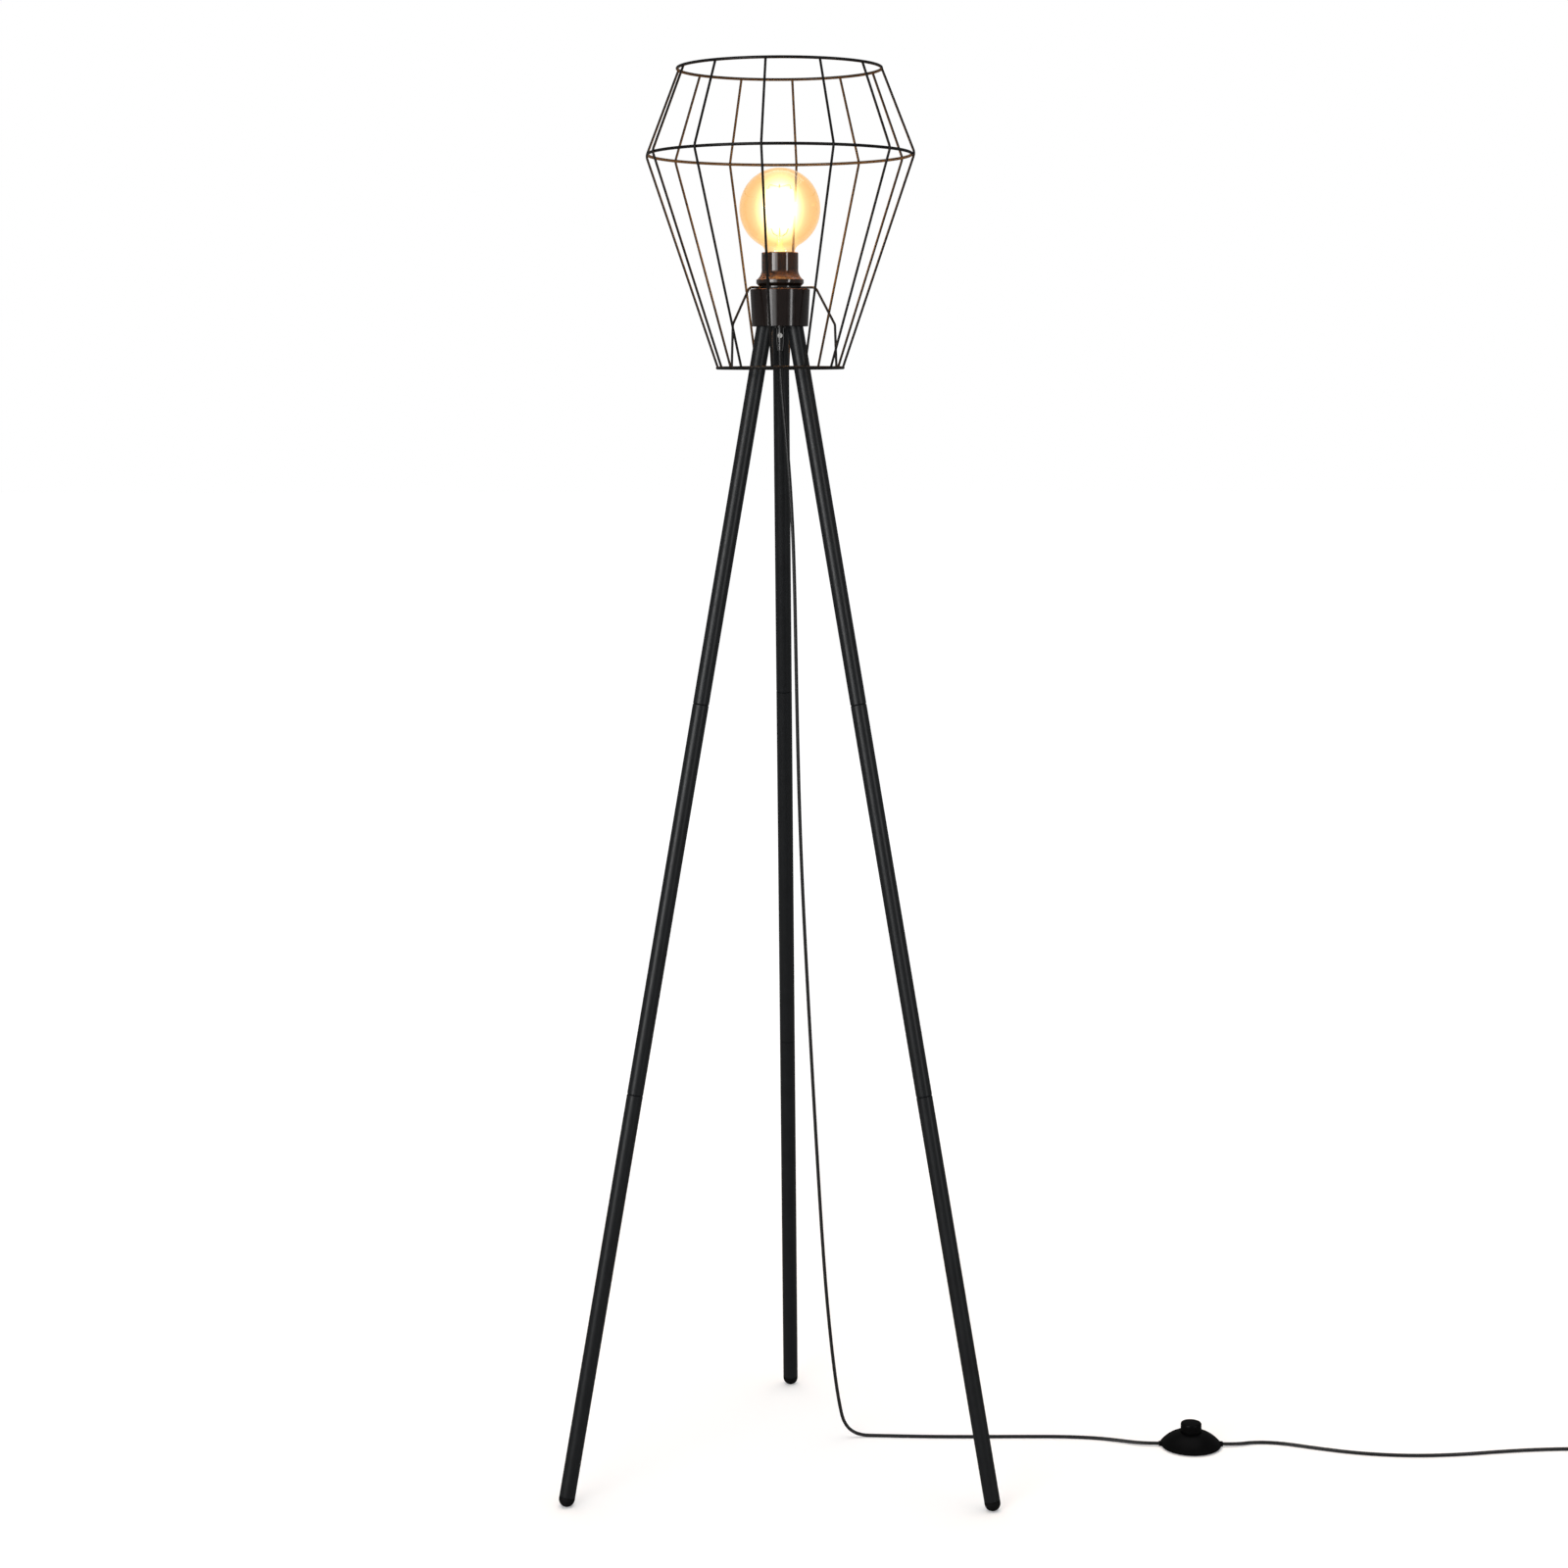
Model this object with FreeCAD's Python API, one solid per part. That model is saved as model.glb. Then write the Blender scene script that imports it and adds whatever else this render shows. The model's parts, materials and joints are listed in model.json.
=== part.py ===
import FreeCAD, Part
import math
import os
from FreeCAD import Placement, Rotation, Vector

# Floor lamp with a wire cage shade, a globe bulb and a screwed tripod.
# Millimetres, +Z up. The floor is z = 0 and the origin is the middle of the lamp's footprint.
# The lamp's own axis stands AXIS_Y off that origin, because one leg points straight back (+Y).
# Heights are above the floor, radii are from the lamp's axis.

# Tripod: three legs, each screwed together from three tubes
LEG_AZIMUTHS = {"back": 90.0, "left": 210.0, "right": 330.0}
FOOT_RADIUS = 246.0
SEAT_RADIUS = 14.05
SEAT_HEIGHT = 1180.0
LEG_RADIUS = 8.0
LEG_WALL = 1.2
LEG_CHAMFER = 0.7
UPPER_TUBE = 392.0
MIDDLE_TUBE = 392.0
PLUG_DEPTH = 18.0
STUD_RADIUS = 4.0
HUB_STUD_DEPTH = 14.0
DOME_CENTRE = 7.75
FOOT_COLLAR = 1.75
FOOT_STEM = 13.0
FOOT_STEM_CHAMFER = 1.5

# Hub under the shade: a spun cup over a cast leg hub, on one threaded nipple
CUP_BOTTOM = 1164.5
CUP_TOP = 1200.5
CUP_BOTTOM_RADIUS = 27.6
CUP_TOP_RADIUS = 29.4
CUP_WALL = 1.4
CUP_EDGE = 0.9
HUB_BOTTOM = 1170.0
HUB_RADIUS = 22.3
HUB_FLANGE_RADIUS = 24.6
HUB_FLANGE_HEIGHT = 6.0
NIPPLE_BOTTOM = 1166.0
NIPPLE_TOP = 1207.0
NIPPLE_RADIUS = 5.0
NIPPLE_BORE = 3.6
NIPPLE_CHAMFER = 0.5

# Cord grip at the nipple's lower end
GRIP_BOTTOM = 1141.0
GRIP_WAIST = 1149.0
GRIP_SHOULDER = 1163.0
GRIP_STEM_TOP = 1178.0
GRIP_RADIUS = 3.5
GRIP_MOUTH_RADIUS = 2.7
GRIP_MOUTH_CHAMFER = 0.4
GRIP_STEP = 0.2
GRIP_PLAY = 0.1
GRIP_SCREW_HEIGHT = 1155.5
GRIP_SCREW_RADIUS = 1.5
GRIP_SCREW_BITE = 0.2
GRIP_SCREW_HEAD_RADIUS = 2.4
GRIP_SCREW_HEAD = 1.3
GRIP_SCREW_GAP = 0.05
SCREW_SLOT = 0.6
LEADS_BOTTOM = 1146.0

# Wire cage
CAGE_TOP = 1412.0
CAGE_MIDDLE = 1330.0
CAGE_BOTTOM = 1124.0
TOP_RING_RADIUS = 99.3
MIDDLE_BEND_RADIUS = 132.0
BOTTOM_RING_RADIUS = 62.0
RING_WIRE = 1.45
RIB_WIRE = 1.2
RIB_COUNT = 12
RIB_PHASE = -5.5
RIB_BEND = 9.0
WELD_BITE = 0.1
ARM_COUNT = 3
ARM_PHASE = 99.5
ARM_SHOULDER_RADIUS = 37.5
ARM_KNEE_RADIUS = 57.9
ARM_KNEE_HEIGHT = 1165.5
ARM_BEND = 6.0
WASHER_RADIUS = 22.0
WASHER_THICKNESS = 1.5
ARM_LAP = 1.0

# Lamp holder for an E27 screw cap
HOLDER_RIM_RADIUS = 23.3
HOLDER_FOOT_RADIUS = 20.5
HOLDER_SEAM = 1208.0
HOLDER_MOUTH = 1236.0
HOLDER_NECK_RADIUS = 18.0
HOLDER_NECK_FOOT = 1221.0
HOLDER_NECK_EDGE = 0.8
HOLDER_FOOT_BAND = 1.2
HOLDER_FLARE_TOP = 3.6
HOLDER_RIM_BAND = 4.8
HOLDER_RIM_EDGE = 0.4
SHELL_BAND = 1.8
SHELL_EDGE = 0.5
SHELL_FLARE_RADIUS = 18.8
SHELL_FLARE_RISE = 5.2
SPIGOT_RADIUS = 18.9
SPIGOT_WALL = 2.0
SPIGOT_HEIGHT = 4.0
SPIGOT_PLAY = 0.1
MOUTH_BORE = 15.2
MOUTH_BORE_BOTTOM = 1216.0
SLEEVE_BORE = 13.5
SLEEVE_WALL = 0.6
SLEEVE_BOTTOM = 1210.5
SLEEVE_TOP = 1229.0
CORE_RADIUS = 14.9
CORE_BOTTOM = 1207.0
CORE_TOP = 1210.5
CORE_WALL_TOP = 1223.0
TERMINAL_OFFSET = 9.0
TERMINAL_RADIUS = 1.4
TERMINAL_BOTTOM = 1207.5
TERMINAL_HEAD_RADIUS = 2.3
TERMINAL_HEAD = 1.2
TERMINAL_SLOT_DEPTH = 0.5
CONTACT_RADIUS = 4.5
CONTACT_THICKNESS = 0.6
CONTACT_DOME_RADIUS = 2.4
CONTACT_DOME = 0.6
LEAD_RADIUS = 0.8
LEAD_OFFSET = 1.1
LEADS_TOP = 1208.5

# Globe bulb
GLOBE_RADIUS = 39.65
GLOBE_HEIGHT = 1278.0
GLASS = 0.8
BULB_NECK_RADIUS = 14.6
BULB_NECK_BOTTOM = 1235.0
BULB_NECK_FILLET = 8.0
CAP_RADIUS = 13.1
CAP_BOTTOM = 1217.0
CAP_WALL = 1.4
CAP_EDGE = 0.6
CAP_SHOULDER = 1.6
CAP_LIP = 0.3
THREAD_COUNT = 4
THREAD_PITCH = 3.62
THREAD_DEPTH = 0.45
TIP_BOTTOM = 1212.0
TIP_RADIUS = 4.4
TIP_RISE = 1.6
INSULATOR_FOOT = 5.5
INSULATOR_LAP = 1.2
STEM_SEAT = 0.9
STEM_FOOT_EDGE = 0.8
STEM_FLARE = 9.0
STEM_RADIUS = 3.2
STEM_SHOULDER = 4.0
ROD_RADIUS = 1.2
ROD_CROWN = 1.0
FILAMENT_COUNT = 6
FILAMENT_RADIUS = 1.1
FILAMENT_FOOT = (10.0, 1260.0)
FILAMENT_HEAD = (13.0, 1296.0)
SUPPORT_RADIUS = 0.5
SUPPORT_BEND = 2.0
SUPPORT_ROOT = 2.2
SUPPORT_KNEE = 7.5
SUPPORT_ELBOW = 11.5
STEM_TOP = 1254.0
CROWN_HEIGHT = 1301.0

# Cord, foot switch and plug
CORD_RADIUS = 1.8
FLOOR_LINE = 1.9
ARC_SHARE = 0.45
SWITCH_X = 427.0
SWITCH_Y = 60.0
SWITCH_CORD_HEIGHT = 3.0
SWITCH_COLLAR = 33.4
SWITCH_RADIUS = 32.0
SWITCH_WAIST = 3.2
SWITCH_TOP = 16.2
SWITCH_HOLE = 11.25
SWITCH_SWELL = 0.59
SWITCH_WALL = 2.2
SWITCH_LIP = 1.2
SWITCH_SKIRT = 0.3
SWITCH_SKIRT_WALL = 0.5
SWITCH_BULGE = (31.1, 1.4)
COLLAR_RADIUS = 2.8
BASE_RADIUS = 28.6
BASE_THICKNESS = 2.4
BASE_CHAMFER = 0.8
BASE_PLAY = 0.1
POST_HEIGHT = 5.0
POST_FOOT = 3.8
POST_HEAD = 3.6
BUTTON_RADIUS = 10.9
BUTTON_TOP = 27.2
BUTTON_CROWN = 0.6
BUTTON_EDGE = 2.4
BUTTON_EDGE_BEARING = 78.0
BUTTON_FLANGE_WIDTH = 1.4
BUTTON_FLANGE = 2.2
BUTTON_FLANGE_GAP = 0.6
BUTTON_RECESS = 6.5
BUTTON_CEILING = 20.0
SPRING_WIRE = 0.5
SPRING_RADIUS = 5.0
SPRING_TURNS = 5.5

# Coil of the spare cord: it winds in on the floor, climbs half a turn and winds out on top
COIL_X = 856.0
COIL_ENTRY_Y = 58.0
COIL_INNER = 15.5
COIL_PITCH = 4.8
COIL_TURNS_IN = 1.75
COIL_TURNS_OUT = 2.0
COIL_UPPER = 6.3
COIL_LEAD_IN = 4.0
COIL_TAIL = 14.0

# Flat two-pin plug: a moulded body whose pins wear insulating sleeves up to their bare tips
PLUG_LENGTH = 34.0
PLUG_WIDTH = 26.0
PLUG_FACE_WIDTH = 24.6
PLUG_NOSE = 4.6
PLUG_WAIST = 13.0
PLUG_GRIP_END = 21.0
PLUG_EDGE = 2.6
RELIEF_LENGTH = 22.0
RELIEF_WALL = 0.8
RELIEF_ROOT = 0.4
RELIEF_LAP = 2.0
GROOVE_COUNT = 4
GROOVE_START = 3.5
GROOVE_PITCH = 4.4
GROOVE_WIDTH = 1.6
GROOVE_WALL = 0.5
GROOVE_STEP = 0.3
PIN_RADIUS = 2.0
PIN_LENGTH = 19.0
PIN_TIP = 1.5
PIN_TIP_CHAMFER = 0.9
PIN_ROOT = 8.0
PIN_SHANK_RADIUS = 1.25
PIN_SLEEVE_RADIUS = 1.75
PIN_SLEEVE = 10.0
PIN_SPACING = 18.6

# Cord routes from the lamp's axis, as the photographed cord lies
FALL_ROUTE = [
    (0.0, 0.0, GRIP_BOTTOM),
    (0.4, 0.2, 1117.0),
    (3.9, 1.9, 1078.0),
    (8.4, 5.0, 1024.0),
    (11.7, 8.6, 967.0),
    (13.3, 12.4, 910.0),
    (14.2, 16.2, 853.0),
    (15.0, 20.0, 796.0),
    (16.0, 23.8, 739.0),
    (17.3, 27.6, 682.0),
    (19.1, 31.5, 625.0),
    (21.4, 35.4, 568.0),
    (24.1, 39.3, 511.0),
    (26.9, 43.2, 454.0),
    (29.8, 47.1, 397.0),
    (32.8, 51.1, 340.0),
    (35.9, 55.1, 283.0),
    (39.2, 59.1, 226.0),
    (43.0, 63.1, 169.0),
    (47.4, 67.0, 118.0),
    (52.0, 70.6, 74.0),
    (56.5, 73.6, 41.0),
    (62.0, 76.0, 14.5),
    (76.5, 77.8, 2.3),
    (101.0, 78.2, FLOOR_LINE),
    (146.0, 76.6, FLOOR_LINE),
    (200.0, 77.4, FLOOR_LINE),
    (254.0, 79.6, FLOOR_LINE),
    (299.0, 80.4, FLOOR_LINE),
    (333.0, 76.6, FLOOR_LINE),
    (358.0, 67.5, 2.4),
    (376.0, SWITCH_Y, SWITCH_CORD_HEIGHT),
    (SWITCH_X - SWITCH_COLLAR, SWITCH_Y, SWITCH_CORD_HEIGHT),
]
PLUG_ROUTE = [
    (SWITCH_X + SWITCH_COLLAR, SWITCH_Y, SWITCH_CORD_HEIGHT),
    (476.0, SWITCH_Y, 2.8),
    (494.0, 68.6, 2.1),
    (522.0, 67.4, FLOOR_LINE),
    (556.0, 53.4, FLOOR_LINE),
    (601.0, 38.6, FLOOR_LINE),
    (652.0, 33.0, FLOOR_LINE),
    (703.0, 38.0, FLOOR_LINE),
    (749.0, 48.6, FLOOR_LINE),
    (790.0, 55.4, FLOOR_LINE),
    (822.0, COIL_ENTRY_Y, FLOOR_LINE),
    (COIL_X - COIL_LEAD_IN, COIL_ENTRY_Y, FLOOR_LINE),
]

# Worked out from the sizes above
SPLAY = math.degrees(math.atan2(FOOT_RADIUS - SEAT_RADIUS, SEAT_HEIGHT))
LEG_LENGTH = math.hypot(FOOT_RADIUS - SEAT_RADIUS, SEAT_HEIGHT)
DOME_RADIUS_OUT = FOOT_RADIUS - DOME_CENTRE * math.sin(math.radians(SPLAY))
AXIS_Y = -DOME_RADIUS_OUT / 4
UPPER_JOINT = LEG_LENGTH - UPPER_TUBE
LOWER_JOINT = UPPER_JOINT - MIDDLE_TUBE
LOWER_END = DOME_CENTRE + FOOT_COLLAR
LEG_BORE = LEG_RADIUS - LEG_WALL
HUB_TOP = CUP_TOP - CUP_WALL
COIL_ENTRY_RADIUS = COIL_INNER + COIL_PITCH * COIL_TURNS_IN
COIL_Y = COIL_ENTRY_Y + COIL_ENTRY_RADIUS
COIL_EXIT_X = COIL_X + COIL_INNER + COIL_PITCH * COIL_TURNS_OUT
PLUG_START_Y = COIL_Y + COIL_TAIL

UP = Vector(0, 0, 1)


def save(name, shape):
    """Write one piece, moved from the lamp's axis to the origin of the footprint."""
    piece = shape.copy()
    piece.translate(Vector(0, AXIS_Y, 0))
    if not piece.isValid():
        raise ValueError(name + " is not a valid solid")
    piece.exportStep("parts/" + name + ".step")
    box = piece.BoundBox
    print("%-24s %9.0f mm3  x %7.1f %7.1f  y %7.1f %7.1f  z %7.1f %7.1f" % (
        name, piece.Volume, box.XMin, box.XMax, box.YMin, box.YMax, box.ZMin, box.ZMax))


def turned(outline):
    """Solid of revolution about Z from (radius, height) corners.

    A corner written ((radius, height), (radius, height)) is reached by an arc: through, end.
    """
    edges = []
    first = outline[0]
    here = Vector(first[0], 0, first[1])
    for corner in outline[1:] + [first]:
        curved = isinstance(corner[0], tuple)
        end = corner[1] if curved else corner
        there = Vector(end[0], 0, end[1])
        if curved:
            through = Vector(corner[0][0], 0, corner[0][1])
            edges.append(Part.Arc(here, through, there).toShape())
        elif here.distanceToPoint(there) > 1e-6:
            edges.append(Part.LineSegment(here, there).toShape())
        here = there
    return Part.Face(Part.Wire(edges)).revolve(Vector(), UP, 360)


def rounded(radius, centre, start, end):
    """Middle and end of an arc about a centre, from one bearing to another, in degrees."""
    middle = math.radians((start + end) / 2)
    last = math.radians(end)
    return (
        (centre[0] + radius * math.cos(middle), centre[1] + radius * math.sin(middle)),
        (centre[0] + radius * math.cos(last), centre[1] + radius * math.sin(last)),
    )


def crown(edge, top):
    """Middle and end of an arc from (radius, height) up to the axis, as a cap of a sphere."""
    rise = top - edge[1]
    sphere = (edge[0] ** 2 + rise ** 2) / (2 * rise)
    bearing = math.degrees(math.atan2(sphere - rise, edge[0]))
    return rounded(sphere, (0, top - sphere), bearing, 90)


def corner_arc(start, corner, end):
    """Circular arc from start to end, tangent to both runs that meet at the corner."""
    chord_middle = (start + end) * 0.5
    half_chord = (end - start).Length / 2
    reach = (corner - chord_middle).Length
    rise = half_chord * math.tan(math.atan2(reach, half_chord) / 2)
    through = chord_middle + (corner - chord_middle) * (rise / reach)
    return Part.Arc(start, through, end).toShape()


def half_turn(before, corner, after):
    """Half the angle by which a route turns at a corner, in radians."""
    return (corner - before).getAngle(after - corner) / 2


def route_wire(points, radius=None):
    """Straight runs joined by tangent arcs, of one radius or as large as the runs allow."""
    points = [Vector(*p) for p in points]
    edges = []
    radii = []
    here = points[0]
    for before, corner, after in zip(points, points[1:], points[2:]):
        bend = half_turn(before, corner, after)
        shorter = min((corner - before).Length, (after - corner).Length)
        trim = radius * math.tan(bend) if radius else ARC_SHARE * shorter
        arc_start = corner + (before - corner).normalize() * trim
        arc_end = corner + (after - corner).normalize() * trim
        edges.append(Part.LineSegment(here, arc_start).toShape())
        edges.append(corner_arc(arc_start, corner, arc_end))
        radii.append(trim / math.tan(bend))
        here = arc_end
    edges.append(Part.LineSegment(here, points[-1]).toShape())
    return Part.Wire(edges), radii


def round_tube(path, radius):
    """Solid round bar along a wire."""
    start = path.OrderedEdges[0]
    heading = start.tangentAt(start.FirstParameter)
    section = Part.Wire(Part.makeCircle(radius, start.valueAt(start.FirstParameter), heading))
    return path.makePipeShell([section], True, False)


def cord_along(name, route):
    """Cord on its route, with the radii and the volume printed for comparison."""
    path, radii = route_wire(route)
    tube = round_tube(path, CORD_RADIUS)
    print("%s: length %.0f mm, radii %s" % (name, path.Length, " ".join("%.0f" % r for r in radii)))
    expected = math.pi * CORD_RADIUS ** 2 * path.Length
    print("%s: volume %.0f mm3, section times length %.0f mm3" % (name, tube.Volume, expected))
    return tube


def biarc(start, heading_in, end, heading_out):
    """Two tangent arcs from start to end with the given unit headings."""
    chord = end - start
    both = heading_in + heading_out
    square = 2 * (1 - heading_in.dot(heading_out))
    linear = 2 * chord.dot(both)
    reach = (math.sqrt(linear ** 2 + 4 * square * chord.dot(chord)) - linear) / (2 * square)
    first_corner = start + heading_in * reach
    last_corner = end - heading_out * reach
    joint = (first_corner + last_corner) * 0.5
    return [corner_arc(start, first_corner, joint), corner_arc(joint, last_corner, end)]


def wound(place, turns, wire_radius, lead_in=0.0, tail=0.0):
    """Unbroken round tube whose centre line is place(turn), in biarcs of a quarter turn."""
    step = 1e-4
    stations = [turns * i / round(turns * 4) for i in range(round(turns * 4) + 1)]
    points = [place(s) for s in stations]
    headings = [(place(s + step) - place(s - step)).normalize() for s in stations]
    edges = []
    if lead_in:
        edges.append(Part.LineSegment(points[0] - headings[0] * lead_in, points[0]).toShape())
    for i in range(len(stations) - 1):
        edges += biarc(points[i], headings[i], points[i + 1], headings[i + 1])
    if tail:
        edges.append(Part.LineSegment(points[-1], points[-1] + headings[-1] * tail).toShape())
    path = Part.Wire(edges)
    return round_tube(path, wire_radius), path


def least_self_gap(path, wire_radius):
    """Smallest clear gap between parts of a wound tube that aren't next to each other."""
    count = int(path.Length)
    points = path.discretize(count)
    skip = int(6 * wire_radius * count / path.Length) + 2
    gaps = [points[i].distanceToPoint(points[j])
            for i in range(count) for j in range(i + skip, count)]
    return min(gaps) - 2 * wire_radius


def smooth_step(share):
    """Level at both ends, rising from 0 to 1."""
    share = min(max(share, 0.0), 1.0)
    return (1 - math.cos(math.pi * share)) / 2


def around(shape, azimuth):
    """A copy turned about the lamp's axis."""
    piece = shape.copy()
    piece.rotate(Vector(), UP, azimuth)
    return piece


def on_leg(shape, azimuth):
    """A copy set on a leg: local +Z runs from the floor up the leg's centre line."""
    piece = shape.copy()
    lean = Rotation(UP, azimuth).multiply(Rotation(Vector(0, 1, 0), -SPLAY))
    foot = Rotation(UP, azimuth).multVec(Vector(FOOT_RADIUS, 0, 0))
    piece.Placement = Placement(foot, lean)
    return piece


def bar(radius, bottom, top):
    return Part.makeCylinder(radius, top - bottom, Vector(0, 0, bottom))


def leg_tube(bottom, top, bottom_plug, top_plug):
    """Tube with chamfered ends and a tapped plug in each end that is screwed."""
    tube = turned([
        (LEG_BORE, bottom),
        (LEG_RADIUS - LEG_CHAMFER, bottom),
        (LEG_RADIUS, bottom + LEG_CHAMFER),
        (LEG_RADIUS, top - LEG_CHAMFER),
        (LEG_RADIUS - LEG_CHAMFER, top),
        (LEG_BORE, top),
    ])
    if bottom_plug:
        plug = bar(LEG_BORE, bottom, bottom + PLUG_DEPTH)
        tube = tube.fuse(plug.cut(bar(STUD_RADIUS, bottom, bottom + PLUG_DEPTH)))
    if top_plug:
        plug = bar(LEG_BORE, top - PLUG_DEPTH, top)
        tube = tube.fuse(plug.cut(bar(STUD_RADIUS, top - PLUG_DEPTH, top)))
    return tube.removeSplitter()


def foot_cap():
    """Rubber foot: a dome as wide as the tube, with a stem pressed into its bore."""
    dome = rounded(LEG_RADIUS, (0, DOME_CENTRE), -90, 0)
    return turned([
        (0, DOME_CENTRE - LEG_RADIUS),
        dome,
        (LEG_RADIUS, LOWER_END),
        (LEG_BORE, LOWER_END),
        (LEG_BORE, LOWER_END + FOOT_STEM - FOOT_STEM_CHAMFER),
        (LEG_BORE - FOOT_STEM_CHAMFER, LOWER_END + FOOT_STEM),
        (0, LOWER_END + FOOT_STEM),
    ])


def make_legs():
    span = 3 * FOOT_RADIUS
    below_floor = Part.makeBox(span, span, PLUG_DEPTH, Vector(-span / 2, -span / 2, -PLUG_DEPTH))
    tubes = {
        "upper": leg_tube(UPPER_JOINT, LEG_LENGTH, True, True),
        "middle": leg_tube(LOWER_JOINT, UPPER_JOINT, True, True),
        "lower": leg_tube(LOWER_END, LOWER_JOINT, False, True),
    }
    studs = []
    for side, azimuth in LEG_AZIMUTHS.items():
        for level, tube in tubes.items():
            save("leg_%s_%s_tube" % (side, level), on_leg(tube, azimuth))
        save("foot_" + side, on_leg(foot_cap(), azimuth).cut(below_floor))
        for joint in (LOWER_JOINT, UPPER_JOINT):
            stud = bar(STUD_RADIUS, joint - PLUG_DEPTH, joint + PLUG_DEPTH)
            studs.append(on_leg(stud, azimuth))
        top_stud = bar(STUD_RADIUS, LEG_LENGTH - PLUG_DEPTH, LEG_LENGTH + HUB_STUD_DEPTH)
        studs.append(on_leg(top_stud, azimuth))
    save("leg_studs", Part.makeCompound(studs))


def make_hub():
    cup = turned([
        (NIPPLE_RADIUS, CUP_TOP),
        (CUP_TOP_RADIUS - CUP_EDGE, CUP_TOP),
        rounded(CUP_EDGE, (CUP_TOP_RADIUS - CUP_EDGE, CUP_TOP - CUP_EDGE), 90, 0),
        (CUP_BOTTOM_RADIUS, CUP_BOTTOM),
        (CUP_BOTTOM_RADIUS - CUP_WALL, CUP_BOTTOM),
        (CUP_TOP_RADIUS - CUP_WALL, HUB_TOP),
        (NIPPLE_RADIUS, HUB_TOP),
    ])
    save("hub_cup", cup)

    hub = turned([
        (NIPPLE_RADIUS, HUB_BOTTOM),
        (HUB_RADIUS, HUB_BOTTOM),
        (HUB_RADIUS, HUB_TOP - HUB_FLANGE_HEIGHT),
        (HUB_FLANGE_RADIUS, HUB_TOP - HUB_FLANGE_HEIGHT),
        (HUB_FLANGE_RADIUS, HUB_TOP),
        (NIPPLE_RADIUS, HUB_TOP),
    ])
    reach = 3 * HUB_RADIUS
    under_seat = Part.makeBox(2 * reach, 2 * reach, reach, Vector(-reach, -reach, LEG_LENGTH - reach))
    stud_hole = bar(STUD_RADIUS, LEG_LENGTH, LEG_LENGTH + HUB_STUD_DEPTH)
    for azimuth in LEG_AZIMUTHS.values():
        hub = hub.cut(on_leg(under_seat, azimuth)).cut(on_leg(stud_hole, azimuth))
    save("leg_hub", hub)

    save("threaded_nipple", turned([
        (NIPPLE_BORE, NIPPLE_BOTTOM),
        (NIPPLE_RADIUS - NIPPLE_CHAMFER, NIPPLE_BOTTOM),
        (NIPPLE_RADIUS, NIPPLE_BOTTOM + NIPPLE_CHAMFER),
        (NIPPLE_RADIUS, NIPPLE_TOP - NIPPLE_CHAMFER),
        (NIPPLE_RADIUS - NIPPLE_CHAMFER, NIPPLE_TOP),
        (NIPPLE_BORE, NIPPLE_TOP),
    ]))


def make_cord_grip():
    """Slim grip that clamps the cord with a screw; the two leads go on through its bore."""
    bore = CORD_RADIUS + GRIP_PLAY
    grip = turned([
        (0, GRIP_BOTTOM),
        (GRIP_MOUTH_RADIUS - GRIP_MOUTH_CHAMFER, GRIP_BOTTOM),
        (GRIP_MOUTH_RADIUS, GRIP_BOTTOM + GRIP_MOUTH_CHAMFER),
        (GRIP_RADIUS - GRIP_STEP, GRIP_WAIST),
        (GRIP_RADIUS, GRIP_WAIST),
        (GRIP_RADIUS, GRIP_SHOULDER),
        (NIPPLE_RADIUS, GRIP_SHOULDER),
        (NIPPLE_RADIUS, NIPPLE_BOTTOM),
        (GRIP_RADIUS, NIPPLE_BOTTOM),
        (GRIP_RADIUS, GRIP_STEM_TOP),
        (bore, GRIP_STEM_TOP),
        (bore, LEADS_BOTTOM),
        (0, LEADS_BOTTOM),
    ])
    front = Vector(0, -1, 0)
    shank_start = Vector(0, -bore, GRIP_SCREW_HEIGHT)
    head_start = Vector(0, -GRIP_RADIUS - GRIP_SCREW_GAP, GRIP_SCREW_HEIGHT)
    shank = Part.makeCylinder(GRIP_SCREW_RADIUS, GRIP_RADIUS - bore + GRIP_SCREW_BITE, shank_start, front)
    head = Part.makeCylinder(GRIP_SCREW_HEAD_RADIUS, GRIP_SCREW_HEAD, head_start, front)
    slot = Part.makeBox(SCREW_SLOT, SCREW_SLOT, 2 * GRIP_SCREW_HEAD_RADIUS)
    slot.translate(head_start + Vector(-SCREW_SLOT / 2, -GRIP_SCREW_HEAD, -GRIP_SCREW_HEAD_RADIUS))
    save("cord_grip", grip.cut(shank))
    save("cord_grip_screw", shank.fuse(head).cut(slot).removeSplitter())


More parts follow.
